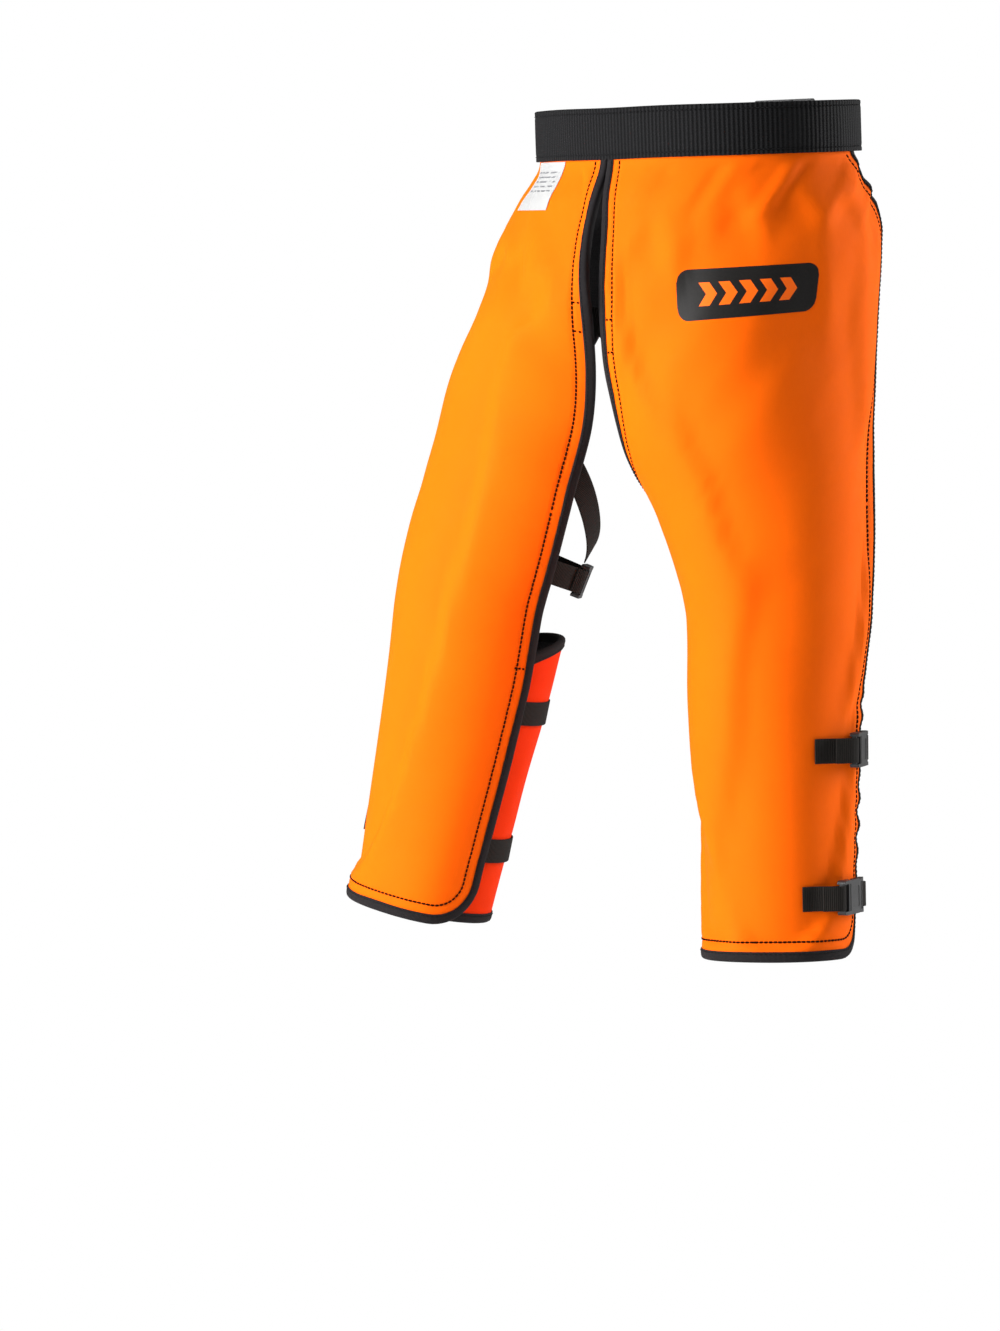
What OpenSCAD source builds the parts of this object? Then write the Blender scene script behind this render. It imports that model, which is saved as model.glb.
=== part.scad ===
// Chainsaw chaps: two padded leg panels that hang from a waistband and are strapped behind
// the waist, the thighs and the calves with side-release buckles.
// Origin: the centre of the worn waist, half way up the waistband. +Z is up, the front of the
// wearer faces -Y and the wearer's left is +X. Lengths are in millimetres, angles in degrees.
// A place on a leg is given by t, the distance down the leg from the origin, by psi, the angle
// round the leg from its front towards its outer side, and by a height above the outer fabric.

/* [Waist] */
// Half width of the worn waist
waist_side = 175; // [160:1:190]
// Half depth of the worn waist
waist_front = 138; // [128:1:148]
// Height of the waistband and width of the belt webbing
belt_width = 50; // [40:1:55]
// How far the worn waistband tips down at the front
waist_pitch = 3; // [0:0.5:4]

/* [Legs] */
// Distance from the middle of the waistband to the hem
panel_length = 817; // [800:1:880]
// Radius of the panel round the upper thigh
upper_thigh_r = 121; // [116:1:126]
// Radius of the panel round the lower thigh
lower_thigh_r = 104; // [100:1:108]
// Radius of the panel round the knee
knee_r = 89; // [86:1:92]
// Radius of the panel round the calf
calf_r = 82; // [80:1:85]
// Radius of the panel at the hem
hem_r = 72; // [70:1:76]
// Radius of the rounded corners of the hem
hem_corner = 45; // [30:1:50]

/* [Layers] */
// Thickness of the outer fabric
shell_t = 1.2; // [0.8:0.1:1.5]
// Thickness of the cut-stopping pad
pad_t = 4; // [3:0.1:4.5]
// Thickness of the lining
lining_t = 1; // [0.6:0.1:1.2]
// Clearance between layers
layer_gap = 0.3; // [0.2:0.05:0.4]
// Distance from a panel's edge to the edge of its layers, inside the binding
inset = 3; // [2:0.5:4]

/* [Binding] */
// Width of the folded binding tape
binding_width = 9; // [7:0.5:12]
// Thickness of the binding tape
binding_t = 0.8; // [0.6:0.1:1]

/* [Calf wrap] */
// Height of the wrap's outer face under the front panel's edges
wrap_edge_height = -14.1; // [-15:0.1:-12]
// How far the wrap bulges from that height at the back of the calf
wrap_bulge = 12.1; // [6:0.1:13]
// Distance down the leg to the wrap's top edge
wrap_top = 548; // [530:1:560]
// How far the top edge rises at the back of the calf
wrap_rise = 30; // [10:1:40]

/* [Straps] */
// Width of the leg webbing
strap_width = 25; // [20:1:25]
// Thickness of the leg webbing
strap_t = 1.5; // [1.2:0.1:1.6]
// Thickness of the belt webbing
belt_t = 1.8; // [1.6:0.1:2]
// Distance down the leg to the thigh strap
thigh_strap_at = 440; // [425:1:450]
// Distance down the leg to the upper calf strap
upper_strap_at = 612; // [600:1:640]
// Distance down the leg to the lower calf strap
lower_strap_at = 757; // [740:1:770]
// Angle of the upper calf buckle
upper_buckle_psi = 118; // [112:1:122]
// Angle of the lower calf buckle
lower_buckle_psi = 108; // [104:1:114]
// Angle of the thigh buckle, behind the inner side of the thigh
thigh_buckle_psi = -125; // [-130:1:-120]

/* [Label and print] */
// Width of the care label
label_width = 68; // [50:1:80]
// Height of the care label below the waistband
label_height = 45; // [30:1:60]
// Height of the print patch
print_height = 52; // [40:1:60]

/* [Hidden] */

// Stations down each leg: t, centre x, y and z, side radius, front radius, then psi of the
// panel's inner and outer edges. The left leg stands straight. The right leg steps out to the
// side and forwards, and is written as its mirror image, with x positive towards the outside.
WAIST_UP = [0, -sin(waist_pitch), cos(waist_pitch)];
BAND_FOOT = -30 * WAIST_UP;
LEFT_LEG = [
    [0, 0, 0, 0, waist_side, waist_front, 1, 102],
    [30, BAND_FOOT[0], BAND_FOOT[1], BAND_FOOT[2], waist_side, waist_front, 1, 104],
    [108, 0, 0, -108, waist_side + 22, waist_front + 12, 3, 118],
    [205, 50, -10, -205, 145, 143, -17, 135],
    [298, 80, -14, -298, upper_thigh_r, upper_thigh_r, -41, 137],
    [368, 97, -6, -368, lower_thigh_r, lower_thigh_r, -74, 136],
    [468, 104, 4, -468, knee_r, knee_r, -93, 134],
    [568, 103, 0, -568, calf_r, calf_r, -93, 133],
    [panel_length, 106, 2, -panel_length, hem_r, hem_r, -93, 133]];
// The right calf, and the slope of the shin below it: sideways, forwards and down
RIGHT_CALF = [213, -106, -541];
RIGHT_SHIN = [0.2, -0.073, -0.977];
RIGHT_HEM = RIGHT_CALF + RIGHT_SHIN * (panel_length - 568);
RIGHT_LEG = [
    [0, 0, 0, 0, waist_side, waist_front, 1, 102],
    [30, BAND_FOOT[0], BAND_FOOT[1], BAND_FOOT[2], waist_side, waist_front, 0, 104],
    [108, 12, -9, -106, waist_side + 22, waist_front + 12, -4, 118],
    [205, 80, -43, -200, 138, 138, -35, 135],
    [298, 145, -52, -283, upper_thigh_r - 4, upper_thigh_r - 4, -59, 136],
    [368, 164, -72, -349, lower_thigh_r + 3, lower_thigh_r + 3, -66, 136],
    [468, 193, -97, -443.5, knee_r + 6, knee_r + 6, -79, 136],
    [568, RIGHT_CALF[0], RIGHT_CALF[1], RIGHT_CALF[2], calf_r + 6, calf_r + 6, -84, 136],
    [panel_length, RIGHT_HEM[0], RIGHT_HEM[1], RIGHT_HEM[2], hem_r, hem_r, -83, 136]];

// Each panel is cut at the crotch and the knee, where the leg bends
PANEL_TOP = 5;
HIP_END = 345;
THIGH_START = 348;
THIGH_END = 476;
SHIN_START = 480;
PAD_TOP = -shell_t - layer_gap;
LINING_TOP = PAD_TOP - pad_t - layer_gap;
PANEL_DEPTH = lining_t - LINING_TOP;
WRAP_SHELL_T = 1;
WRAP_PAD_T = 2.7;
WRAP_LINING_T = 0.7;
WRAP_PAD_TOP = -WRAP_SHELL_T - layer_gap;
WRAP_LINING_TOP = WRAP_PAD_TOP - WRAP_PAD_T - layer_gap;
WRAP_DEPTH = WRAP_LINING_T - WRAP_LINING_TOP;
// How far the wrap tucks in under the front panel's edges
WRAP_TUCK = 11;
PANEL_COLUMNS = 16;
HIP_ROWS = 16;
WRAP_COLUMNS = 12;
ORANGE = "#ff7800";
BLACK = "#262626";

// ---- Geometry of a leg ----
function leg(side) = side == "left" ? LEFT_LEG : RIGHT_LEG;
function unit(v) = v / norm(v);
function blend(a, b, u) = a + (b - a) * u;
function ease(u) = let (c = max(0, min(1, u))) c * c * (3 - 2 * c);
function degrees(length, radius) = length / radius * 180 / PI;
function polar(r, psi) = [r * sin(psi), -r * cos(psi)];

// A station at any t, by a smooth curve through the rows of a leg's table
function span_of(rows, t, i = 0) =
    i >= len(rows) - 2 || t < rows[i + 1][0] ? i : span_of(rows, t, i + 1);
function slope(rows, i) =
    let (a = rows[max(0, i - 1)], b = rows[min(len(rows) - 1, i + 1)]) (b - a) / (b[0] - a[0]);
function station(rows, t) =
    let (i = span_of(rows, t), a = rows[i], b = rows[i + 1], h = b[0] - a[0], u = (t - a[0]) / h)
    a * (1 + 2 * u) * (1 - u) ^ 2 + b * u ^ 2 * (3 - 2 * u)
    + slope(rows, i) * h * u * (1 - u) ^ 2 - slope(rows, i + 1) * h * u ^ 2 * (1 - u);
function centre(rows, t) = let (s = station(rows, t)) [s[1], s[2], s[3]];
// The leg's own axis sets the level of a section from the lower thigh down, and the waistband's
// level blends into it above
AXIS_START = 373;
function up(rows, t) =
    let (m = max(t, AXIS_START), axis = unit(centre(rows, m - 5) - centre(rows, m + 5)))
    unit(blend(WAIST_UP, axis, ease((t - 60) / (AXIS_START - 60))));
function front(rows, t) = let (n = up(rows, t)) unit([0, -1, 0] - n * (n * [0, -1, 0]));
function radius(s, psi) = s[4] * s[5] / sqrt((s[5] * sin(psi)) ^ 2 + (s[4] * cos(psi)) ^ 2);
function on_leg(rows, t, psi, height) =
    let (s = station(rows, t), f = front(rows, t), side = cross(up(rows, t), f))
    [s[1], s[2], s[3]] + (radius(s, psi) + height) * (sin(psi) * side + cos(psi) * f);

// Coordinates at a station: x towards the outer side, y backwards, z up the leg
module at_station(rows, t) {
    n = up(rows, t);
    f = front(rows, t);
    side = cross(n, f);
    c = centre(rows, t);
    multmatrix([
        [side[0], -f[0], n[0], c[0]],
        [side[1], -f[1], n[1], c[1]],
        [side[2], -f[2], n[2], c[2]]])
        children();
}

// The right leg is the mirror image of its table
module on_side(side) {
    mirror(side == "right" ? [1, 0, 0] : [0, 0, 0]) children();
}

// A curved sheet: place(u, v) gives t and psi, outer(u, v) and inner(u, v) give heights
module sheet(rows, down, across, place, outer, inner) {
    n = across + 1;
    back = (down + 1) * n;
    points = [for (face = [outer, inner], i = [0:down], j = [0:across])
        let (u = i / down, v = j / across, p = place(u, v)) on_leg(rows, p[0], p[1], face(u, v))];
    faces = [for (i = [0:down - 1], j = [0:across - 1])
        let (a = i * n + j, b = a + 1, c = b + n, d = a + n)
        each [[a, b, c], [a, c, d], [back + c, back + b, back + a], [back + d, back + c, back + a]]];
    ends = [for (j = [0:across - 1])
        let (a = j, b = a + 1, d = down * n + j, c = d + 1)
        each [[b, a, back + a], [b, back + a, back + b], [d, c, back + c], [d, back + c, back + d]]];
    sides = [for (i = [0:down - 1])
        let (a = i * n, d = a + n, b = a + across, c = b + n)
        each [[a, d, back + d], [a, back + d, back + a], [c, b, back + b], [c, back + b, back + c]]];
    polyhedron(points, concat(faces, ends, sides));
}

// A solid swept through equal sections, which turn anticlockwise about its direction
module sweep(sections, caps) {
    n = len(sections[0]);
    last = (len(sections) - 1) * n;
    walls = [for (i = [0:len(sections) - 2], j = [0:n - 1])
        let (a = i * n + j, b = i * n + (j + 1) % n)
        each [[a, b + n, b], [a, a + n, b + n]]];
    ends = [for (q = caps)
        each [[q[0], q[1], q[2]], [q[0], q[2], q[3]],
            [last + q[2], last + q[1], last + q[0]], [last + q[3], last + q[2], last + q[0]]]];
    polyhedron([for (s = sections) each s], concat(walls, ends));
}

// Points of a section laid on the fabric at t and psi. x is measured along the fabric in the
// direction phi, where 0 is towards larger psi and 90 is up the leg, and y is the height.
function lay(rows, t, psi, phi, height, section) =
    let (r = station(rows, t)[4])
    [for (p = section)
        on_leg(rows, t - p[0] * sin(phi), psi + degrees(p[0] * cos(phi), r), height + p[1])];

// Binding tape folded over a fabric edge of a given depth
function fold(depth) =
    let (w = binding_width, top = 0.5, bottom = -depth - 1.1, tape = binding_t)
    [[w, top + tape], [-1, top + tape], [-1, bottom - tape], [w, bottom - tape],
        [w, bottom], [tape - 1, bottom], [tape - 1, top], [w, top]];
FOLD_CAPS = [[0, 1, 6, 7], [1, 2, 5, 6], [2, 3, 4, 5]];
function flat_section(width, bottom, top) =
    [[width / 2, top], [-width / 2, top], [-width / 2, bottom], [width / 2, bottom]];
FLAT_CAPS = [[0, 1, 2, 3]];

// Webbing on edge: a path in a plane, given a thickness, with the width across the plane
function normal_at(path, i) =
    let (d = unit(path[min(i + 1, len(path) - 1)] - path[max(i - 1, 0)])) [-d[1], d[0]];
module ribbon(path, width, thick) {
    linear_extrude(width, center = true)
        polygon(concat(
            [for (i = [0:len(path) - 1]) path[i] + normal_at(path, i) * thick / 2],
            [for (i = [len(path) - 1:-1:0]) path[i] - normal_at(path, i) * thick / 2]));
}

// ---- Panels ----
// Distance down the leg to the rounded hem, at a fraction v of the way across
function hem_at(rows, v) =
    let (s = station(rows, panel_length), width = (s[7] - s[6]) * s[4] * PI / 180,
        x = min(v, 1 - v) * width + inset)
    panel_length - inset - (x < hem_corner ? hem_corner - sqrt(x * (2 * hem_corner - x)) : 0);
function panel_place(rows, start, end, u, v) =
    let (t = blend(start, end, u), s = station(rows, t), d = degrees(inset, s[4]))
    [t, blend(s[6] + d, s[7] - d, v)];
module panel_layer(side, start, end, down, top, thick) {
    rows = leg(side);
    on_side(side)
        sheet(rows, down, PANEL_COLUMNS,
            function (u, v) panel_place(rows, start, end == panel_length ? hem_at(rows, v) : end, u, v),
            function (u, v) top, function (u, v) top - thick);
}
module panel_shell(side, start, end, down) {
    color(ORANGE) panel_layer(side, start, end, down, 0, shell_t);
}
module panel_pad(side, start, end, down) {
    color("beige") panel_layer(side, start, end, down, PAD_TOP, pad_t);
}
module panel_lining(side, start, end, down) {
    color("#1d1d1d") panel_layer(side, start, end, down, LINING_TOP, lining_t);
}

// Straight runs of binding down both edges of a panel
module edge_bindings(side, start, end, steps) {
    rows = leg(side);
    section = fold(PANEL_DEPTH);
    color(BLACK) on_side(side) {
        sweep([for (i = [0:steps]) let (t = blend(start, end, i / steps))
            lay(rows, t, station(rows, t)[6], 0, 0, section)], FOLD_CAPS);
        sweep([for (i = [0:steps]) let (t = blend(end, start, i / steps))
            lay(rows, t, station(rows, t)[7], 180, 0, section)], FOLD_CAPS);
    }
}

// Binding down the inner edge, round the hem and up the outer edge
module hem_binding(side) {
    rows = leg(side);
    section = fold(PANEL_DEPTH);
    foot = station(rows, panel_length);
    width = (foot[7] - foot[6]) * foot[4] * PI / 180;
    low = panel_length - hem_corner;
    down = [for (i = [0:8]) [blend(SHIN_START, low, i / 8), 0, 0]];
    turn_in = [for (a = [15:15:90]) [low + hem_corner * sin(a), hem_corner * (1 - cos(a)), a]];
    along = [for (i = [1:19]) [panel_length, blend(hem_corner, width - hem_corner, i / 20), 90]];
    turn_out = [for (a = [90:15:165])
        [low + hem_corner * sin(a), width - hem_corner * (1 + cos(a)), a]];
    rise = [for (i = [8:-1:0]) [blend(SHIN_START, low, i / 8), width, 180]];
    color(BLACK) on_side(side)
        sweep([for (p = concat(down, turn_in, along, turn_out, rise))
            let (s = station(rows, p[0]), inner = s[6] + degrees(p[1], foot[4]),
                outer = s[7] - degrees(width - p[1], foot[4]))
            lay(rows, p[0], p[2] < 90 ? inner : outer, p[2], 0, section)], FOLD_CAPS);
}

// ---- Calf wrap ----
// Low beside the panel's edges, so that straps over the wrap pass under its binding
function wrap_height(v) = wrap_edge_height + wrap_bulge * max(0, sin(180 * v)) ^ 1.4;
function wrap_psi(s, v) = blend(s[7] - 360 + WRAP_TUCK, s[6] + WRAP_TUCK, v);
function wrap_top_at(v) = wrap_top - wrap_rise * sin(180 * v);
WRAP_END = panel_length - 2;
module wrap_layer(side, top, thick) {
    rows = leg(side);
    on_side(side)
        sheet(rows, 6, WRAP_COLUMNS,
            function (u, v) let (t = blend(wrap_top_at(v) + 2, WRAP_END - 2, u))
                [t, wrap_psi(station(rows, t), v)],
            function (u, v) wrap_height(v) + top,
            function (u, v) wrap_height(v) + top - thick);
}
module wrap_shell(side) { color(ORANGE) wrap_layer(side, 0, WRAP_SHELL_T); }
module wrap_pad(side) { color("beige") wrap_layer(side, WRAP_PAD_TOP, WRAP_PAD_T); }
module wrap_lining(side) { color("#1d1d1d") wrap_layer(side, WRAP_LINING_TOP, WRAP_LINING_T); }
module wrap_binding(side) {
    rows = leg(side);
    section = fold(WRAP_DEPTH);
    steps = 2 * WRAP_COLUMNS;
    color(BLACK) on_side(side) {
        sweep([for (i = [steps:-1:0]) let (v = i / steps, t = wrap_top_at(v))
            lay(rows, t, wrap_psi(station(rows, t), v), 270, wrap_height(v), section)], FOLD_CAPS);
        sweep([for (i = [0:steps]) let (v = i / steps)
            lay(rows, WRAP_END, wrap_psi(station(rows, WRAP_END), v), 90, wrap_height(v), section)],
            FOLD_CAPS);
    }
}

// ---- Side-release buckles ----
// Each buckle lies along x with y across the webbing and z up from its underside. The female
// half is at small x. k scales its length and height, and web is the webbing's width.
BUCKLE_MIDDLE = 20.5;
function rounded_rect(x0, x1, half, r) =
    [for (q = [0:3], a = [0:15:90])
        [(q == 0 || q == 3 ? x1 - r : x0 + r) + r * cos(a + 90 * q),
            (q < 2 ? half - r : r - half) + r * sin(a + 90 * q)]];
function slot_half(web) = web / 2 + 1;
function buckle_half(web) = web / 2 + 4.5;

module buckle_female(web, k) {
    half = buckle_half(web);
    slot = slot_half(web);
    color(BLACK) difference() {
        linear_extrude(9 * k) polygon(rounded_rect(-9 * k, 30 * k, half, 3 * k));
        // Slot for the webbing, and the bar beside it made thinner
        translate([-5.5 * k, -slot, -1]) cube([5.5 * k, 2 * slot, 9 * k + 2]);
        translate([-9 * k - 1, -slot, -1]) cube([3.5 * k + 2, 2 * slot, 2.5 * k + 1]);
        translate([-9 * k - 1, -slot, 6.5 * k]) cube([3.5 * k + 2, 2 * slot, 3 * k]);
        // Cavity for the prongs, open at the mouth and at the two side windows
        translate([7 * k, -slot, 1.75 * k]) cube([24 * k, 2 * slot, 5.5 * k]);
        translate([10 * k, -half - 1, 1.75 * k]) cube([12 * k, 2 * half + 2, 5.5 * k]);
        // Shallow panel and grip grooves in the top
        translate([0, 0, 8.5 * k]) linear_extrude(k)
            polygon(rounded_rect(8 * k, 27 * k, slot - 3, 2 * k));
        for (x = [2, 4.5]) translate([x * k, -slot, 8.4 * k]) cube([1.1 * k, 2 * slot, k]);
    }
}
module buckle_male(web, k) {
    half = buckle_half(web);
    slot = slot_half(web);
    color(BLACK) {
        difference() {
            translate([0, 0, 0.4 * k]) linear_extrude(8.2 * k)
                polygon(rounded_rect(30.3 * k, 50 * k, half, 2.5 * k));
            // Two slots leave a shoulder, a middle bar and an end bar for the webbing
            translate([36 * k, -slot, -1]) cube([2.7 * k, 2 * slot, 9 * k + 2]);
            translate([41.5 * k, -slot, -1]) cube([6 * k, 2 * slot, 9 * k + 2]);
            translate([38 * k, -slot, -1]) cube([4 * k, 2 * slot, 1.9 * k + 1]);
            translate([38 * k, -slot, 4.2 * k]) cube([14 * k, 2 * slot, 5 * k]);
            translate([47 * k, -slot, -1]) cube([5 * k, 2 * slot, 1.5 * k + 1]);
            // The side arms slope down to the end bar
            translate([39 * k, -half - 1, 8.6 * k]) rotate([0, 22, 0])
                cube([20 * k, 2 * half + 2, 8 * k]);
            for (x = [31.8, 33.9]) translate([x * k, -slot, 8.2 * k]) cube([1 * k, 2 * slot, k]);
        }
        translate([9 * k, -3 * k, 3.2 * k]) cube([22 * k, 6 * k, 2.6 * k]);
    }
}
module buckle_prongs(web, k) {
    half = buckle_half(web);
    slot = slot_half(web);
    beam = slot - 5 * k;
    color(BLACK)
        for (y = [0, 1]) mirror([0, y, 0]) translate([0, 0, 2.3 * k]) linear_extrude(4.4 * k)
            polygon([[30.2 * k, beam - 1.3 * k], [30.2 * k, beam + 1.5 * k],
                [24 * k, beam + 1.7 * k], [21.8 * k, beam + 2.6 * k], [21.4 * k, half - 1.6],
                [20.4 * k, half - 0.9], [18.4 * k, half - 0.8], [15 * k, half - 1.6],
                [12 * k, slot - 1], [9.4 * k, slot - 3.6], [9.4 * k, beam - 0.8 * k],
                [13 * k, beam], [21 * k, beam - 0.6 * k]]);
}

// Places its children at a leg buckle. turn is 0 when the male half is towards larger psi.
module at_buckle(side, t, psi, height, turn) {
    rows = leg(side);
    on_side(side) at_station(rows, t) rotate([0, 0, psi])
        translate([0, -radius(station(rows, t), psi) - height, 0]) rotate([90, 0, 0])
        rotate([0, 0, turn]) translate([-BUCKLE_MIDDLE, 0, 0])
        children();
}
// A buckle's own point x, z in the plane of its station, where ahead is 1 for turn 0
function buckle_point(r, psi, ahead, p) =
    (r + p[1]) * [sin(psi), -cos(psi)] + ahead * (p[0] - BUCKLE_MIDDLE) * [cos(psi), sin(psi)];
// Webbing round the female half's bar, and round the male half's middle bar
BAR_LOOP = [[-9, 1.15], [-6, 1.15], [-4.6, 1.9], [-4.15, 3.4], [-4.15, 5.6], [-4.6, 7.1],
    [-6, 7.85], [-9, 7.85]];
LADDER_LOOP = [[51, -0.9], [46, 0.1], [42, 0.4], [39.2, 0.5], [37.8, 1.4], [37.35, 3],
    [37.8, 4.7], [39.2, 5.6], [42, 5.65], [47, 5.65], [52, 5.4]];

// ---- Leg straps ----
BUCKLE_LIFT = 1.3;
STUB_START = 39;
// The straps sit a little higher on the leg that steps forwards
RIGHT_STRAP_RISE = 18;
function calf_strap_at(side, i) =
    [upper_strap_at, lower_strap_at][i] - (side == "right" ? RIGHT_STRAP_RISE : 0);
function calf_buckle_psi(i) = [upper_buckle_psi, lower_buckle_psi][i];
module calf_stub(side, i) {
    rows = leg(side);
    t = calf_strap_at(side, i);
    psi = calf_buckle_psi(i);
    s = station(rows, t);
    r = radius(s, psi) + BUCKLE_LIFT;
    face = r + 0.9;
    path = concat(
        [for (a = [-8, -4, 0]) polar(face, psi - STUB_START + a)],
        [for (p = BAR_LOOP) buckle_point(r, psi, 1, p)],
        [polar(face + 3.2, psi - STUB_START + 6)]);
    on_side(side) at_station(rows, t) ribbon(path, strap_width, strap_t);
}
// From the ladder lock, down on to the wrap and round the calf to under the inner edge
module calf_strap(side, level) {
    rows = leg(side);
    t = calf_strap_at(side, level);
    psi = calf_buckle_psi(level);
    s = station(rows, t);
    r = radius(s, psi) + BUCKLE_LIFT;
    start = wrap_psi(s, 0);
    end = wrap_psi(s, 1);
    first = psi + 19 - 360;
    path = concat(
        [for (p = LADDER_LOOP) buckle_point(r, psi, 1, p)],
        [for (i = [1:26])
            let (a = blend(first + 6, end - 5, (i - 1) / 25), v = (a - start) / (end - start))
            polar(r + blend(10.5, wrap_height(max(0, v)) + 0.5, ease((a - first) / 42)), a)]);
    on_side(side) at_station(rows, t) ribbon(path, strap_width, strap_t);
}

// ---- Thigh straps ----
// The buckle sits behind the inner thigh, level with the inside of the panel
THIGH_SINK = -11.6;
THIGH_TAIL_TOP = 332;
// Where the thigh stub levels out before it meets the female half's bar
STUB_LEAD = [-13, -0.6];
module thigh_stub(side) {
    rows = leg(side);
    s = station(rows, thigh_strap_at);
    psi = thigh_buckle_psi;
    r = s[4] + THIGH_SINK;
    path = concat(
        [for (a = [14, 9, 4, -1]) polar(s[4] + THIGH_SINK, s[6] + a)],
        [buckle_point(r, psi, -1, STUB_LEAD)],
        [for (p = BAR_LOOP) buckle_point(r, psi, -1, p)],
        [polar(r + 7, psi + 24)]);
    on_side(side) at_station(rows, thigh_strap_at) ribbon(path, strap_width, strap_t);
}
module thigh_long_strap(side) {
    rows = leg(side);
    s = station(rows, thigh_strap_at);
    psi = thigh_buckle_psi;
    r = s[4] + THIGH_SINK;
    first = psi - 25;
    end = s[7] - 360 - 14;
    path = concat(
        [for (p = LADDER_LOOP) buckle_point(r, psi, -1, p)],
        [for (i = [0:14]) let (a = blend(first, end, i / 14))
            polar(r + blend(10, 0, ease((first - a) / 30)), a)]);
    on_side(side) at_station(rows, thigh_strap_at) ribbon(path, strap_width, strap_t);
}
// Loose end of the webbing, tucked up behind the panel's inner edge
module thigh_tail(side) {
    rows = leg(side);
    low = [thigh_strap_at - 30, thigh_buckle_psi + 4];
    high = [THIGH_TAIL_TOP, station(rows, THIGH_TAIL_TOP)[6] + 6];
    ends = high - low;
    phi = atan2(ends[1] * PI / 180 * lower_thigh_r, ends[0]);
    on_side(side) sweep([for (i = [0:10]) let (p = blend(low, high, i / 10))
        lay(rows, p[0], p[1], phi, THIGH_SINK - 2, flat_section(strap_width, -strap_t, 0))],
        FLAT_CAPS);
}

// ---- Sub-parts ----
// Folded webbing band that holds the tops of both panels
BAND_END = 112;
BAND_STEP = 4;
function band_outline(low, high, end) =
    let (s = station(LEFT_LEG, 0))
    concat([for (a = [-end:BAND_STEP:end]) polar(radius(s, a) + high, a)],
        [for (a = [end:-BAND_STEP:-end]) polar(radius(s, a) + low, a)]);
// The waistband's own level, tipped down at the front
module at_waist() {
    rotate([waist_pitch, 0, 0]) children();
}
module waistband() {
    wall = 1.2;
    outside = 2.4;
    inside = -PANEL_DEPTH - 3;
    color(BLACK) at_waist() difference() {
        linear_extrude(belt_width, center = true) polygon(band_outline(inside, outside, BAND_END));
        translate([0, 0, -belt_width / 2 - 1]) linear_extrude(belt_width - wall)
            polygon(band_outline(inside + wall, outside - wall, BAND_END - BAND_STEP));
    }
}

BELT_SCALE = 1.3;
BELT_BUCKLE_R = waist_front - PANEL_DEPTH + 1;
function belt_point(p) = let (k = BELT_SCALE)
    [(p[0] - BUCKLE_MIDDLE) * k, BELT_BUCKLE_R + p[1] * k];
// The webbing's run from inside the waistband's end to a height at its outer end
function belt_run(end, high) =
    let (s = station(LEFT_LEG, 0), low = -PANEL_DEPTH - 5)
    [for (i = [0:12]) let (a = blend(BAND_END - 10, end, i / 12))
        polar(radius(s, a) + blend(low, high, ease((a - BAND_END) / (end - BAND_END))), a)];
module belt_long_strap() {
    n = len(LADDER_LOOP) - 1;
    color(BLACK) at_waist() ribbon(concat(belt_run(158, 2), [for (i = [n:-1:0]) belt_point(LADDER_LOOP[i])]),
        belt_width, belt_t);
}
module belt_short_strap() {
    n = len(BAR_LOOP) - 1;
    color(BLACK) at_waist() ribbon(concat([for (p = belt_run(160, -PANEL_DEPTH)) [-p[0], p[1]]],
        [for (p = BAR_LOOP) belt_point(p)], [belt_point([-14, 6.6]), belt_point([-22, 3.2])]),
        belt_width, belt_t);
}
module at_belt_buckle() {
    at_waist() translate([-BUCKLE_MIDDLE * BELT_SCALE, BELT_BUCKLE_R, 0]) rotate([-90, 0, 0])
        children();
}

// Tab behind the slit that joins the two panels at the crotch
BRIDGE_AT = 193;
BRIDGE_REACH = 26;
BRIDGE_SINK = PANEL_DEPTH + 8;
function bridge_section(rows, reach, flip) =
    let (psi = station(rows, BRIDGE_AT)[6], points = lay(rows, BRIDGE_AT,
        psi + degrees(reach, station(rows, BRIDGE_AT)[4]), 270, -BRIDGE_SINK,
        flat_section(24, -1.5, 0)))
    [for (p = points) [flip * p[0], p[1], p[2]]];
module crotch_bridge() {
    right = [for (x = [BRIDGE_REACH, BRIDGE_REACH / 2, 0]) bridge_section(RIGHT_LEG, x, -1)];
    left = [for (x = [0, BRIDGE_REACH / 2, BRIDGE_REACH]) bridge_section(LEFT_LEG, x, 1)];
    flipped = [for (s = concat(right, left)) [s[3], s[2], s[1], s[0]]];
    color(BLACK) sweep(flipped, FLAT_CAPS);
}

module care_label() {
    middle = 39;
    top = belt_width / 2 + 4;
    half = degrees(label_width, waist_front + 10) / 2;
    color("white") on_side("right")
        sheet(RIGHT_LEG, 4, 6,
            function (u, v) [blend(top, top + label_height, u), blend(middle - half, middle + half, v)],
            function (u, v) 1.9, function (u, v) 1.3);
}

// Pill-shaped patch on the outside of the left thigh
module thigh_print() {
    middle = 160;
    half = print_height / 2;
    color("#181818")
        sheet(LEFT_LEG, 4, 14,
            function (u, v)
                let (end = min(v, 1 - v) * 14 / 3, bulge = end < 1 ? sqrt(end * (2 - end)) : 1)
                [middle + half * (2 * u - 1) * max(0.25, bulge), blend(25, 81, v)],
            function (u, v) 1.4, function (u, v) 0.8);
}

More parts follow.
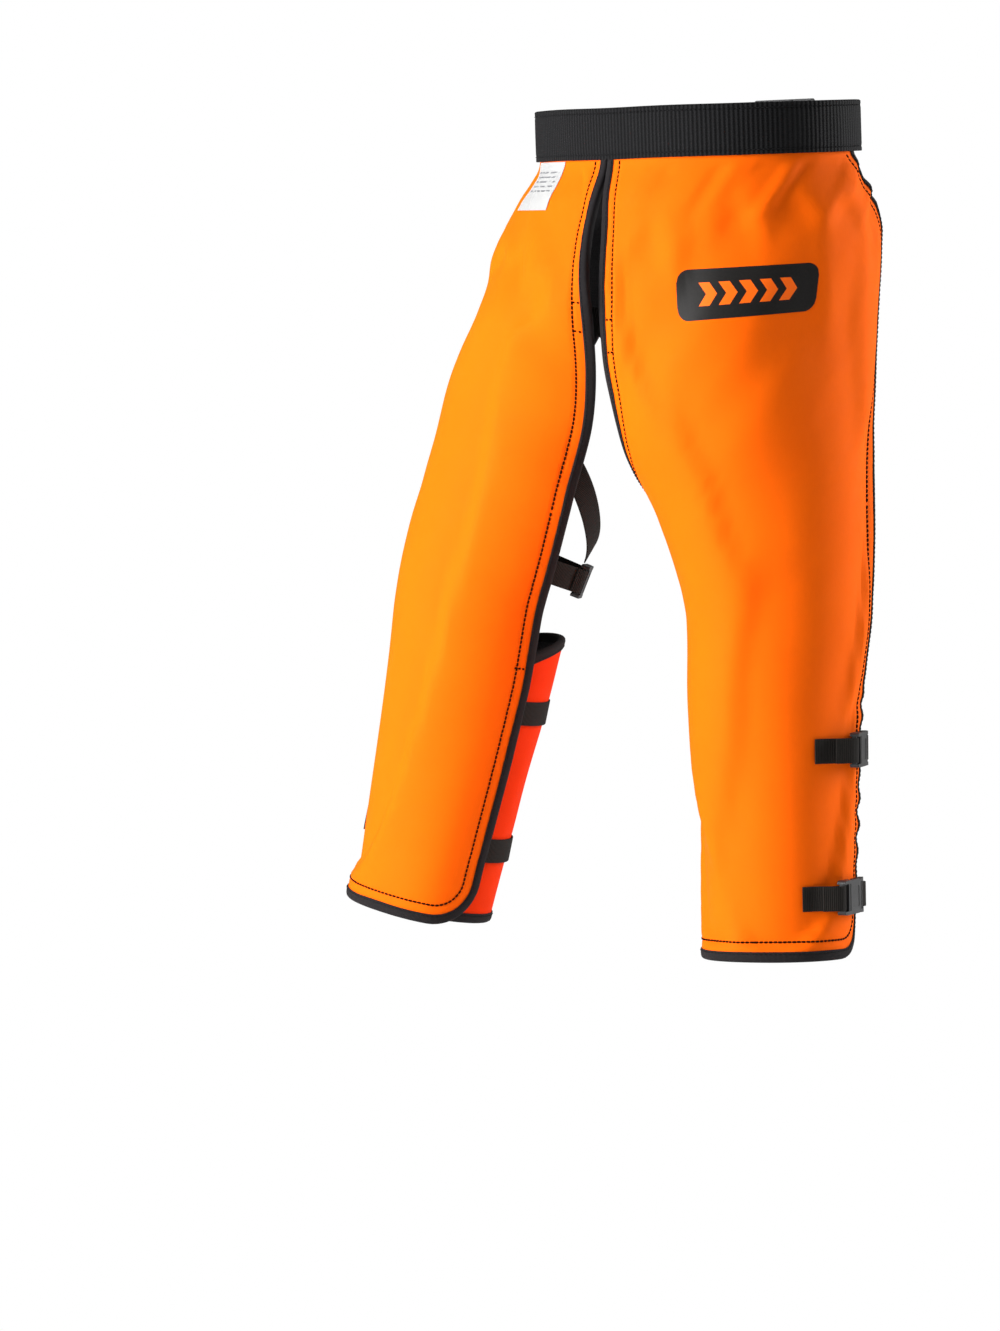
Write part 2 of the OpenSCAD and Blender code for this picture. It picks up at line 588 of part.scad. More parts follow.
module hip_shells() {
    for (side = ["left", "right"]) panel_shell(side, PANEL_TOP, HIP_END, HIP_ROWS);
}
module hip_pads() {
    for (side = ["left", "right"]) panel_pad(side, PANEL_TOP, HIP_END, HIP_ROWS);
}
module hip_linings() {
    for (side = ["left", "right"]) panel_lining(side, PANEL_TOP, HIP_END, HIP_ROWS);
}
module hip_bindings() {
    // One row down from the top, just below the waistband, and then row for row with the shells
    row = (HIP_END - PANEL_TOP) / HIP_ROWS;
    for (side = ["left", "right"]) edge_bindings(side, PANEL_TOP + row, HIP_END, HIP_ROWS - 1);
}
module thigh_shell(side) { panel_shell(side, THIGH_START, THIGH_END, 5); }
module thigh_pad(side) { panel_pad(side, THIGH_START, THIGH_END, 5); }
module thigh_lining(side) { panel_lining(side, THIGH_START, THIGH_END, 5); }
module thigh_binding(side) { edge_bindings(side, THIGH_START, THIGH_END, 6); }
module shin_shell(side) { panel_shell(side, SHIN_START, panel_length, 8); }
module shin_pad(side) { panel_pad(side, SHIN_START, panel_length, 8); }
module shin_lining(side) { panel_lining(side, SHIN_START, panel_length, 8); }
module thigh_straps(side) {
    color(BLACK) {
        thigh_stub(side);
        thigh_long_strap(side);
        thigh_tail(side);
    }
}
module calf_straps(side) {
    color(BLACK) for (i = [0, 1]) calf_strap(side, i);
}
module calf_strap_stubs(side) {
    color(BLACK) for (i = [0, 1]) calf_stub(side, i);
}
module at_calf_buckle(side, i) {
    at_buckle(side, calf_strap_at(side, i), calf_buckle_psi(i), BUCKLE_LIFT, 0) children();
}
module at_thigh_buckle(side) {
    at_buckle(side, thigh_strap_at, thigh_buckle_psi, THIGH_SINK, 180) children();
}
module calf_buckle_females(side) {
    for (i = [0, 1]) at_calf_buckle(side, i) buckle_female(strap_width, 1);
}
module calf_male(side, i) { at_calf_buckle(side, i) buckle_male(strap_width, 1); }
module calf_prongs(side, i) { at_calf_buckle(side, i) buckle_prongs(strap_width, 1); }
module thigh_female(side) { at_thigh_buckle(side) buckle_female(strap_width, 1); }
module thigh_male(side) { at_thigh_buckle(side) buckle_male(strap_width, 1); }
module thigh_prongs(side) { at_thigh_buckle(side) buckle_prongs(strap_width, 1); }

waistband();
belt_long_strap();
belt_short_strap();
at_belt_buckle() buckle_female(belt_width, BELT_SCALE);  // waist_buckle_female
at_belt_buckle() buckle_male(belt_width, BELT_SCALE);  // waist_buckle_male
at_belt_buckle() buckle_prongs(belt_width, BELT_SCALE);  // waist_buckle_prongs
hip_shells();
hip_pads();
hip_linings();
hip_bindings();
crotch_bridge();
care_label();
thigh_print();

thigh_shell("left");  // left_thigh_shell
thigh_pad("left");  // left_thigh_pad
thigh_lining("left");  // left_thigh_lining
thigh_binding("left");  // left_thigh_binding
thigh_straps("left");  // left_thigh_straps
thigh_female("left");  // left_thigh_buckle_female
thigh_male("left");  // left_thigh_buckle_male
thigh_prongs("left");  // left_thigh_buckle_prongs
shin_shell("left");  // left_shin_shell
shin_pad("left");  // left_shin_pad
shin_lining("left");  // left_shin_lining
hem_binding("left");  // left_shin_binding
wrap_shell("left");  // left_wrap_shell
wrap_pad("left");  // left_wrap_pad
wrap_lining("left");  // left_wrap_lining
wrap_binding("left");  // left_wrap_binding
calf_straps("left");  // left_calf_straps
calf_strap_stubs("left");  // left_calf_strap_stubs
calf_buckle_females("left");  // left_calf_buckle_females
calf_male("left", 0);  // left_calf_upper_buckle_male
calf_prongs("left", 0);  // left_calf_upper_buckle_prongs
calf_male("left", 1);  // left_calf_lower_buckle_male
calf_prongs("left", 1);  // left_calf_lower_buckle_prongs

thigh_shell("right");  // right_thigh_shell
thigh_pad("right");  // right_thigh_pad
thigh_lining("right");  // right_thigh_lining
thigh_binding("right");  // right_thigh_binding
thigh_straps("right");  // right_thigh_straps
thigh_female("right");  // right_thigh_buckle_female
thigh_male("right");  // right_thigh_buckle_male
thigh_prongs("right");  // right_thigh_buckle_prongs
shin_shell("right");  // right_shin_shell
shin_pad("right");  // right_shin_pad
shin_lining("right");  // right_shin_lining
hem_binding("right");  // right_shin_binding
wrap_shell("right");  // right_wrap_shell
wrap_pad("right");  // right_wrap_pad
wrap_lining("right");  // right_wrap_lining
wrap_binding("right");  // right_wrap_binding
calf_straps("right");  // right_calf_straps
calf_strap_stubs("right");  // right_calf_strap_stubs
calf_buckle_females("right");  // right_calf_buckle_females
calf_male("right", 0);  // right_calf_upper_buckle_male
calf_prongs("right", 0);  // right_calf_upper_buckle_prongs
calf_male("right", 1);  // right_calf_lower_buckle_male
calf_prongs("right", 1);  // right_calf_lower_buckle_prongs
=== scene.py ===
"""Chainsaw chaps: fabric, webbing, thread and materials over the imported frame, and the studio.

Lengths are in millimetres until a mesh is made. Each leg has its own coordinates: t down the leg
from the middle of the waistband, v across the panel from its inner edge (0) to its outer (1), and
a height above the fabric's outer face. The table rows are the CAD's own.
"""
import math

import bpy
import numpy as np
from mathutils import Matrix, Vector


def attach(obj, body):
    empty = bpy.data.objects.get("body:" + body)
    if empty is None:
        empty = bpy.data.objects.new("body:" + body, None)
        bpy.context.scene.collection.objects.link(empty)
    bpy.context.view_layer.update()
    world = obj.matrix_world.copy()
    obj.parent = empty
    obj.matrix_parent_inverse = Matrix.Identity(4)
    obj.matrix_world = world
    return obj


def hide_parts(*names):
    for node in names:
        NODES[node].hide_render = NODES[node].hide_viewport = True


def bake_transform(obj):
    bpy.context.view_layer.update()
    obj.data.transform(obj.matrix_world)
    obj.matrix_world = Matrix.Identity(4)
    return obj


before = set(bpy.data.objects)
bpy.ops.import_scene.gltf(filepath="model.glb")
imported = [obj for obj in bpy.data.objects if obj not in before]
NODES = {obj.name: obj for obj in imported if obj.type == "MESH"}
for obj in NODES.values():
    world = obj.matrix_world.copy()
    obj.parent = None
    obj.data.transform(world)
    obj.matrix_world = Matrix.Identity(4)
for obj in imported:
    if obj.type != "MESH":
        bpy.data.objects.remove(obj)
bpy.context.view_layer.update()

# ---- Design values shared with the CAD ----
WAIST_SIDE, WAIST_FRONT, BELT_WIDTH, WAIST_PITCH = 175.0, 138.0, 50.0, 3.0
LENGTH = 817.0
HEM_CORNER, INSET = 45.0, 3.0
SHELL_T, PAD_T, LINING_T, GAP = 1.2, 4.0, 1.0, 0.3
PAD_TOP = -SHELL_T - GAP
LINING_TOP = PAD_TOP - PAD_T - GAP
PANEL_DEPTH = LINING_T - LINING_TOP
WRAP_EDGE, WRAP_BULGE, WRAP_TOP, WRAP_RISE, WRAP_TUCK = -14.1, 12.1, 548.0, 30.0, 11.0
WRAP_END = LENGTH - 2
THIGH_STRAP = 440.0
CALF_STRAPS = {"left": (612.0, 757.0), "right": (594.0, 739.0)}
CALF_BUCKLE_PSI = (118.0, 108.0)
THIGH_PSI, THIGH_SINK, THIGH_TAIL_TOP = -125.0, -11.6, 332.0
STRAP_SECTION, BELT_SECTION = (24.6, 1.4), (49.4, 1.7)  # width and thickness of the webbing
BUCKLE_MIDDLE, BUCKLE_LIFT, BELT_SCALE = 20.5, 1.3, 1.3
BELT_BUCKLE_R = WAIST_FRONT - PANEL_DEPTH + 1
BAND_END, SEAM_END = 112.0, 108.0
BAND_ARC = 2.75  # mm round the waistband for each degree
AXIS_START = 373.0
CUT = 385.0  # where each panel's upper and lower pieces meet, between the hip and the knee

pitch = math.radians(WAIST_PITCH)
WAIST_UP = np.array([0, -math.sin(pitch), math.cos(pitch)])
BAND_FOOT = tuple(-30 * WAIST_UP)
RIGHT_CALF = (213, -106, -541)
RIGHT_HEM = tuple(np.array(RIGHT_CALF) + np.array([0.2, -0.073, -0.977]) * (LENGTH - 568))
LEFT_ROWS = [
    (0, 0, 0, 0, 175, 138, 1, 102),
    (30, *BAND_FOOT, 175, 138, 1, 104),
    (108, 0, 0, -108, 197, 150, 3, 118),
    (205, 50, -10, -205, 145, 143, -17, 135),
    (298, 80, -14, -298, 121, 121, -41, 137),
    (368, 97, -6, -368, 104, 104, -74, 136),
    (468, 104, 4, -468, 89, 89, -93, 134),
    (568, 103, 0, -568, 82, 82, -93, 133),
    (LENGTH, 106, 2, -LENGTH, 72, 72, -93, 133)]
RIGHT_ROWS = [
    (0, 0, 0, 0, 175, 138, 1, 102),
    (30, *BAND_FOOT, 175, 138, 0, 104),
    (108, 12, -9, -106, 197, 150, -4, 118),
    (205, 80, -43, -200, 138, 138, -35, 135),
    (298, 145, -52, -283, 117, 117, -59, 136),
    (368, 164, -72, -349, 107, 107, -66, 136),
    (468, 193, -97, -443.5, 95, 95, -79, 136),
    (568, *RIGHT_CALF, 88, 88, -84, 136),
    (LENGTH, *RIGHT_HEM, 72, 72, -83, 136)]


# ---- Small maths ----
def unit(v):
    return v / np.linalg.norm(v, axis=-1, keepdims=True)


def ease(u):
    c = np.clip(u, 0, 1)
    return c * c * (3 - 2 * c)


def mix(a, b, u):
    return a + (b - a) * u


def noise(x, y, seed):
    """Smooth value noise between -1 and 1, one bump per unit of x and y."""
    grid = np.random.default_rng(seed).uniform(-1, 1, (97, 97))
    x, y = np.broadcast_arrays(np.asarray(x, float), np.asarray(y, float))
    i, j = np.floor(x).astype(int), np.floor(y).astype(int)
    a, b = ease(x - i), ease(y - j)
    g = lambda di, dj: grid[(i + di) % 97, (j + dj) % 97]
    return mix(mix(g(0, 0), g(1, 0), a), mix(g(0, 1), g(1, 1), a), b)


def hill(x, width):
    return np.exp(-(x / width) ** 2)


def hermite(a, b, slope_a, slope_b, span, u):
    """The cubic from a to b over a span, with a slope at each end, at u from 0 to 1."""
    return (a * (1 + 2 * u) * (1 - u) ** 2 + b * u ** 2 * (3 - 2 * u)
            + slope_a * span * u * (1 - u) ** 2 - slope_b * span * u ** 2 * (1 - u))


def lengths(path):
    """Distance along a path to each of its points."""
    return np.concatenate([[0], np.cumsum(np.linalg.norm(np.diff(path, axis=0), axis=1))])


def strip_uv(along, around):
    """UV in metres from distances in mm along a strip and around its section."""
    return np.stack(np.meshgrid(along, around, indexing="ij"), -1) / 1000


# ---- A leg ----
class Leg:
    def __init__(self, side, rows, seed):
        self.side, self.rows, self.seed = side, np.array(rows, float), seed
        self.mirror = np.array([1 if side == "left" else -1, 1, 1])
        self.drape = None
        self.hip_bend = [self.mirror * p for p in ((0.010, -0.150, -0.190), (0.055, -0.150, -0.333))]

    def station(self, t):
        rows, t = self.rows, np.asarray(t, float)
        last = len(rows) - 1
        i = np.clip(np.searchsorted(rows[:, 0], t, side="right") - 1, 0, last - 1)
        a, b = rows[i], rows[i + 1]
        h = (b[..., 0] - a[..., 0])[..., None]
        u = (t - a[..., 0])[..., None] / h

        def slope(k):
            p, q = rows[np.clip(k - 1, 0, last)], rows[np.clip(k + 1, 0, last)]
            return (q - p) / (q[..., 0] - p[..., 0])[..., None]

        return hermite(a, b, slope(i), slope(i + 1), h, u)

    def axes(self, t):
        """Up the leg, to the front and to the outer side, at t."""
        t = np.asarray(t, float)
        m = np.maximum(t, AXIS_START)
        axis = unit(self.station(m - 5)[..., 1:4] - self.station(m + 5)[..., 1:4])
        n = unit(mix(WAIST_UP, axis, ease((t - 60) / (AXIS_START - 60))[..., None]))
        ahead = np.array([0, -1.0, 0])
        f = unit(ahead - n * (n @ ahead)[..., None])
        return n, f, np.cross(n, f)

    def width(self, t):
        s = self.station(t)
        return np.radians(s[..., 7] - s[..., 6]) * s[..., 4]

    def on_leg(self, t, psi, height):
        """World points in mm, already mirrored for the right leg."""
        t, psi, height = np.broadcast_arrays(np.asarray(t, float), psi, height)
        s, p = self.station(t), np.radians(psi)
        _, f, side = self.axes(t)
        r = s[..., 4] * s[..., 5] / np.hypot(s[..., 5] * np.sin(p), s[..., 4] * np.cos(p))
        out = np.sin(p)[..., None] * side + np.cos(p)[..., None] * f
        return (s[..., 1:4] + (r + height)[..., None] * out) * self.mirror

    def psi(self, t, v):
        s = self.station(t)
        return mix(s[..., 6], s[..., 7], v)

    def v_at(self, t, psi):
        s = self.station(t)
        return (psi - s[..., 6]) / (s[..., 7] - s[..., 6])

    def edge_distance(self, t, v):
        """How far inside the panel's edge, with the hem's corners rounded."""
        w = self.width(t)
        x = np.minimum(v, 1 - v) * w
        low = LENGTH - t
        corner = (x < HEM_CORNER) & (low < HEM_CORNER)
        rounded = HEM_CORNER - np.hypot(HEM_CORNER - x, HEM_CORNER - low)
        return np.where(corner, rounded, np.minimum(x, low))

    def relief(self, t, v):
        """Height of the folds, wrinkles and stitched channels over the plain form."""
        t, v = np.broadcast_arrays(np.asarray(t, float), np.asarray(v, float))
        w = self.width(t)
        x, far = v * w, (1 - v) * w
        edge = self.edge_distance(t, v)
        free = ease((t - 27) / 40)
        seed = self.seed

        # Broad vertical folds, deeper towards the hem
        h = free * 2.2 * noise(x / 75 + 7, t / 230 + 3, seed)
        h += ease((t - 560) / 240) * 2.6 * noise(x / 48 + 5, t / 400, seed + 1)
        # Short wrinkles that hang from the waistband and lean towards the hip
        lean = x + 0.55 * (t - 30)
        near = ease((t - 26) / 14) * hill(t - 40, 42)
        h += near * 3.2 * noise(lean / 15, t / 70, seed + 2) * (0.35 + 0.65 * ease(v * 2.2))
        # Long pulls from the hip across the front of the thigh
        pull = ease((t - 40) / 60) * (1 - ease((t - 200) / 190))
        h += pull * 2.4 * noise((x + 0.8 * t) / 46, (t - 0.5 * x) / 170, seed + 3)
        # Soft creases above the knee
        knee = hill(t - 455, 70)
        h += knee * 1.0 * noise(x / 80, (t + 0.25 * x) / 26, seed + 4)
        # Stitched channel, and the fabric puckered along it
        along = np.where(edge < x - 1, x, t)
        h -= 0.85 * hill(edge - 18.5, 2.0) * ease((t - 26) / 8)
        h += 0.32 * noise(along / 5.5, edge / 9, seed + 5) * hill(edge - 14, 9) * free
        # The outer edge ripples between its two buckles
        above = t - CALF_STRAPS[self.side][0]
        ripple = np.maximum(hill(above - 71, 42), 0.8 * hill(above + 37, 26))
        h += ripple * 1.9 * np.sin(t * 2 * math.pi / 27 + seed) * hill(far, 17)
        h += 0.7 * hill(x, 14) * noise(t / 34, 0.5, seed + 6) * free
        if self.drape is not None:
            i = np.clip((t - self.drape_t[0]) / (self.drape_t[1] - self.drape_t[0]),
                        0, len(self.drape_t) - 1.001)
            j = np.clip(v * (self.drape.shape[1] - 1), 0, self.drape.shape[1] - 1.001)
            a, b = i.astype(int), j.astype(int)
            d, p = self.drape, i - a
            near, next_on = mix(d[a, b], d[a + 1, b], p), mix(d[a, b + 1], d[a + 1, b + 1], p)
            h = h + free * mix(near, next_on, j - b)
        return h

    def at(self, t, v, height):
        """A point of the front panel at a height over its folded outer face."""
        return self.on_leg(t, self.psi(t, v), height + self.relief(t, v))

    def hem_at(self, v):
        """Distance down to the panel's rounded hem, a little inside its binding."""
        x = np.minimum(np.minimum(v, 1 - v) * self.width(LENGTH), HEM_CORNER)
        return LENGTH - INSET - (HEM_CORNER - np.sqrt(np.maximum(x * (2 * HEM_CORNER - x), 0)))


LEGS = {"left": Leg("left", LEFT_ROWS, 11), "right": Leg("right", RIGHT_ROWS, 41)}


# ---- Meshes ----
def add_mesh(name, points, faces, normals=None, uv=None, sharp_angle=None):
    """An object from points in mm. normals and uv have one row per face corner."""
    mesh = bpy.data.meshes.new(name)
    mesh.from_pydata((np.asarray(points) / 1000).tolist(), [], faces)
    mesh.polygons.foreach_set("use_smooth", [True] * len(mesh.polygons))
    if uv is not None:
        layer = mesh.uv_layers.new(name="UVMap")
        layer.data.foreach_set("uv", np.asarray(uv, np.float32).ravel())
    mesh.update()
    if normals is not None:
        mesh.normals_split_custom_set(np.asarray(normals).tolist())
    elif sharp_angle:
        mesh.set_sharp_from_angle(angle=math.radians(sharp_angle))
    obj = bpy.data.objects.new(name, mesh)
    bpy.context.scene.collection.objects.link(obj)
    return obj


def grid_normals(grid):
    along = np.gradient(grid, axis=0)
    across = np.gradient(grid, axis=1)
    return unit(np.cross(across, along))


def sheet(name, outer, inner, uv, normals=None):
    """A closed sheet between two grids of points. uv is one grid in metres."""
    rows, cols = outer.shape[:2]
    size = rows * cols
    n_out = grid_normals(outer) if normals is None else normals[0]
    n_in = grid_normals(inner) if normals is None else normals[1]
    towards = np.sign(((outer - inner) * n_out).sum(-1).mean())
    n_out, n_in = n_out * towards, -n_in * towards
    points = np.concatenate([outer.reshape(-1, 3), inner.reshape(-1, 3)])
    i, j = np.meshgrid(np.arange(rows - 1), np.arange(cols - 1), indexing="ij")
    a = (i * cols + j).ravel()
    quad = np.stack([a, a + 1, a + 1 + cols, a + cols], 1)
    if towards < 0:
        quad = quad[:, ::-1]
    back = quad[:, ::-1] + size
    ring = np.concatenate([np.arange(cols), np.arange(1, rows) * cols + cols - 1,
                           (rows - 1) * cols + np.arange(cols - 2, -1, -1),
                           np.arange(rows - 2, 0, -1) * cols])
    nxt = np.roll(ring, -1)
    rim = np.stack([ring, ring + size, nxt + size, nxt], 1)
    if towards < 0:
        rim = rim[:, ::-1]
    faces = np.concatenate([quad, back, rim])
    normal_of = np.concatenate([n_out.reshape(-1, 3), n_in.reshape(-1, 3)])
    p = points[rim]
    flat = unit(np.cross(p[:, 1] - p[:, 0], p[:, 2] - p[:, 0]) + 1e-9)
    loops = np.concatenate([normal_of[quad].reshape(-1, 3), normal_of[back].reshape(-1, 3),
                            np.repeat(flat, 4, 0)])
    flat_uv = np.concatenate([uv.reshape(-1, 2)] * 2)
    return add_mesh(name, points, faces.tolist(), loops, flat_uv[faces].reshape(-1, 2))


def swept(name, sections, uv, sharp_angle=40):
    """Closed solids through equal closed sections, from arrays (K, P, 3) or (N, K, P, 3)."""
    count, ring = sections.shape[-3:-1]
    sections, uv = sections.reshape(-1, count, ring, 3), uv.reshape(-1, count, ring, 2)
    first = sections[0, 0] - sections[0, 0].mean(0)
    ahead = sections[0, 1].mean(0) - sections[0, 0].mean(0)
    a = np.arange((count - 1) * ring).reshape(-1, ring)
    b = np.roll(a, -1, 1)
    walls = np.stack([a, b, b + ring, a + ring], -1).reshape(-1, 4)
    ends = np.stack([np.arange(ring)[::-1], np.arange(ring) + (count - 1) * ring])
    # The last wall's UV carries on past the first point, so the pattern has no seam
    past = np.concatenate([uv[:, :, 1:], 2 * uv[:, :, -1:] - uv[:, :, -2:-1]], 2)
    corner = np.stack([uv[:, :-1], past[:, :-1], past[:, 1:], uv[:, 1:]], 3).reshape(-1, 4, 2)
    if np.cross(first, np.roll(first, -1, 0)).sum(0) @ ahead <= 0:
        walls, corner, ends = walls[:, ::-1], corner[:, ::-1], ends[:, ::-1]
    base = np.arange(len(sections))[:, None, None] * count * ring
    faces = (walls + base).reshape(-1, 4).tolist() + (ends + base).reshape(-1, ring).tolist()
    end_uv = uv.reshape(len(uv), -1, 2)[:, ends]
    loops = np.concatenate([corner.reshape(-1, 2), end_uv.reshape(-1, 2)])
    return add_mesh(name, sections.reshape(-1, 3), faces, None, loops, sharp_angle)


def joined(name, objects):
    """One object from several, with its pieces' loose solids kept as they are."""
    bpy.ops.object.select_all(action="DESELECT")
    for o in objects:
        o.select_set(True)
    bpy.context.view_layer.objects.active = objects[0]
    bpy.ops.object.join()
    objects[0].name = objects[0].data.name = name
    return objects[0]


def rounded_strip(width, thick, steps=3):
    """Section of webbing: x across and y through, with softened long edges."""
    r, flat = thick / 2, (width - thick) / 2
    half = [(flat + r * math.cos(a), r * math.sin(a))
            for a in np.linspace(-math.pi / 2, math.pi / 2, steps * 2 + 1)]
    half += [(flat * (1 - k / 4), r) for k in range(1, 8)]
    return np.array(half + [(-x, -y) for x, y in half])


def webbing(name, path, across, width, thick, wave=0.0, seed=0):
    """Webbing along a path in mm. across gives the direction of its width at each point."""
    path = np.asarray(path, float)
    s = lengths(path)
    fine = np.linspace(0, s[-1], max(8, int(s[-1] / 2.5)))
    # A smooth curve through the points
    tangent = np.gradient(path, s, axis=0)
    k = np.clip(np.searchsorted(s, fine, side="right") - 1, 0, len(s) - 2)
    h = (s[k + 1] - s[k])[:, None]
    u = (fine - s[k])[:, None] / h
    points = hermite(path[k], path[k + 1], tangent[k], tangent[k + 1], h, u)
    along = unit(np.gradient(points, fine, axis=0))
    across = np.broadcast_to(np.asarray(across, float), path.shape)
    across = np.stack([np.interp(fine, s, across[:, c]) for c in range(3)], -1)
    across = unit(across - along * (across * along).sum(-1, keepdims=True))
    through = np.cross(across, along)
    section = rounded_strip(width, thick)
    lift = wave * noise(fine / 40, 0.5, seed)[:, None, None]
    sections = (points[:, None] + section[None, :, :1] * across[:, None]
                + (section[None, :, 1:] + lift) * through[:, None])
    return swept(name, sections, strip_uv(fine, section[:, 0]))


# ---- Materials ----
ORANGE_LIT, ORANGE_SHADE = (0.95, 0.135, 0.002), (0.93, 0.105, 0.002)


def linear(r, g, b):
    """A display colour from 0 to 255 as linear light."""
    return [((c / 255 + 0.055) / 1.055) ** 2.4 if c > 10 else c / 255 / 12.92 for c in (r, g, b)]


class Paint:
    """A material with its node tree, and short names for the nodes it uses."""

    def __init__(self, name, colour, rough, sheen=0.0, specular=0.5):
        self.mat = bpy.data.materials.new(name)
        self.mat.use_nodes = True
        self.tree = self.mat.node_tree
        self.shader = self.tree.nodes["Principled BSDF"]
        self.set("Base Color", (*colour, 1))
        self.set("Roughness", rough)
        self.set("Sheen Weight", sheen)
        self.set("Specular IOR Level", specular)
        self.uv = self.node("TexCoord").outputs["UV"]

    def set(self, socket, value):
        self.shader.inputs[socket].default_value = value

    def node(self, kind, **settings):
        made = self.tree.nodes.new("ShaderNode" + kind)
        for key, value in settings.items():
            setattr(made, key, value)
        return made

    def link(self, a, b):
        self.tree.links.new(a, b)

    def math(self, operation, a, b=None, clamp=False):
        made = self.node("Math", operation=operation, use_clamp=clamp)
        for socket, value in zip(made.inputs, (a, b)):
            if hasattr(value, "links"):
                self.link(value, socket)
            elif value is not None:
                socket.default_value = value
        return made.outputs[0]

    def times(self, value, *others):
        for other in others:
            value = self.math("MULTIPLY", value, other)
        return value

    def plus(self, a, b):
        return self.math("ADD", a, b)

    def between(self, value, low, high):
        return self.times(self.math("GREATER_THAN", value, low), self.math("LESS_THAN", value, high))

    def colour(self, socket):
        self.link(socket, self.shader.inputs["Base Color"])

    def axes(self):
        made = self.node("SeparateXYZ")
        self.link(self.uv, made.inputs[0])
        return made.outputs[0], made.outputs[1]

    def waves(self, value, period):
        """From 0 to 1 and back once every period, in metres."""
        wave = self.math("SINE", self.times(value, 2 * math.pi / period))
        return self.plus(self.times(wave, 0.5), 0.5)

    def clouds(self, scale, detail=3.0, rough=0.55, stretch=(1, 1, 1), source=None):
        mapping = self.node("Mapping")
        mapping.inputs["Scale"].default_value = stretch
        self.link(source or self.uv, mapping.inputs["Vector"])
        made = self.node("TexNoise")
        made.inputs["Scale"].default_value = scale
        made.inputs["Detail"].default_value = detail
        made.inputs["Roughness"].default_value = rough
        self.link(mapping.outputs[0], made.inputs["Vector"])
        return made.outputs["Fac"]

    def ramp(self, value, stops):
        made = self.node("ValToRGB")
        band = made.color_ramp
        while len(band.elements) < len(stops):
            band.elements.new(0.5)
        for e, (at, colour) in zip(band.elements, stops):
            e.position, e.color = at, (*colour, 1)
        self.link(value, made.inputs[0])
        return made.outputs[0]

    def blend(self, kind, factor, a, b):
        made = self.node("Mix", data_type="RGBA", blend_type=kind)
        for name, value in (("Factor_Float", factor), ("A_Color", a), ("B_Color", b)):
            socket = next(i for i in made.inputs if i.identifier == name)
            if hasattr(value, "links"):
                self.link(value, socket)
            else:
                socket.default_value = value
        return next(o for o in made.outputs if o.identifier == "Result_Color")

    def bump(self, *layers):
        """Bumps of (height, distance in metres, strength), one over the other."""
        normal = None
        for height, distance, strength in layers:
            made = self.node("Bump")
            made.inputs["Strength"].default_value = strength
            made.inputs["Distance"].default_value = distance
            self.link(height, made.inputs["Height"])
            if normal is not None:
                self.link(normal, made.inputs["Normal"])
            normal = made.outputs[0]
        self.link(normal, self.shader.inputs["Normal"])

    def weave(self, period):
        """Plain weave: threads that cross over and under in turn."""
        u, v = self.axes()
        over = self.times(self.waves(u, period), self.waves(v, period))
        u, v = self.plus(u, period / 2), self.plus(v, period / 2)
        return self.math("MAXIMUM", over, self.times(self.waves(u, period), self.waves(v, period)))


def orange_fabric(name, lit, shade):
    paint = Paint(name, lit, 0.72, sheen=0.03, specular=0.03)
    weave = paint.weave(0.0011)
    tone = paint.clouds(14, 4)
    colour = paint.blend("MIX", paint.times(tone, 0.55), (*lit, 1), (*shade, 1))
    # Threads a little darker where they dip, as painted shade in the weave's hollows, and slubs along
    # the yarn
    slub = paint.clouds(900, 2, stretch=(1, 0.12, 1))
    dip_shade_and_slub = paint.plus(paint.times(weave, 0.10), paint.times(slub, 0.10))
    colour = paint.blend("MULTIPLY", 1.0, colour,
                         paint.ramp(dip_shade_and_slub, [(0.0, (0.86, 0.86, 0.86)), (0.2, (1, 1, 1))]))
    paint.colour(colour)
    rough = paint.plus(paint.times(paint.clouds(60, 3), 0.18), 0.6)
    paint.link(rough, paint.shader.inputs["Roughness"])
    paint.shader.inputs["Sheen Tint"].default_value = (1, 0.18, 0.0, 1)
    paint.shader.inputs["Sheen Roughness"].default_value = 0.4
    paint.bump((paint.clouds(120, 4), 0.0012, 0.10), (weave, 0.0003, 0.30))
    return paint.mat


def ribbed_webbing(name, colour, pitch_m, grain):
    paint = Paint(name, colour, 0.8, sheen=0.01, specular=0.09)
    u, v = paint.axes()
    rib = paint.waves(u, pitch_m)
    cross = paint.waves(v, pitch_m * 0.55)
    fuzz = paint.clouds(700, 3)
    lighter = [c * 3.4 + 0.004 for c in colour]
    tone = paint.plus(paint.times(rib, 0.5), paint.times(fuzz, 0.45))
    paint.colour(paint.ramp(tone, [(0.25, colour), (0.95, lighter)]))
    weave = paint.plus(rib, paint.times(cross, 0.35))
    paint.bump((weave, 0.0005, grain), (fuzz, 0.0003, 0.25))
    return paint.mat


def moulded_plastic(name):
    paint = Paint(name, linear(30, 30, 31), 0.42, specular=0.35)
    place = paint.node("NewGeometry").outputs["Position"]
    grain = paint.clouds(2400, 2, source=place)
    flow = paint.clouds(55, 4, source=place)
    wear = paint.node("NewGeometry").outputs["Pointiness"]
    edge = paint.ramp(wear, [(0.49, (0, 0, 0)), (0.60, (1, 1, 1))])
    base = paint.ramp(flow, [(0.3, linear(24, 24, 25)), (0.75, linear(38, 38, 39))])
    paint.colour(paint.blend("MIX", paint.times(edge, 0.3), base, (*linear(74, 74, 76), 1)))
    rough = paint.plus(paint.times(flow, 0.22), 0.30)
    paint.link(rough, paint.shader.inputs["Roughness"])
    paint.bump((grain, 0.00012, 0.35))
    return paint.mat


def thread_material(name, colour):
    paint = Paint(name, colour, 0.8, specular=0.05)
    u, v = paint.axes()
    twist = paint.waves(paint.plus(u, paint.times(v, 0.8)), 0.0009)
    lighter = [c * 1.6 + 0.001 for c in colour]
    paint.colour(paint.ramp(twist, [(0.2, colour), (1, lighter)]))
    paint.bump((twist, 0.0002, 0.5))
    return paint.mat


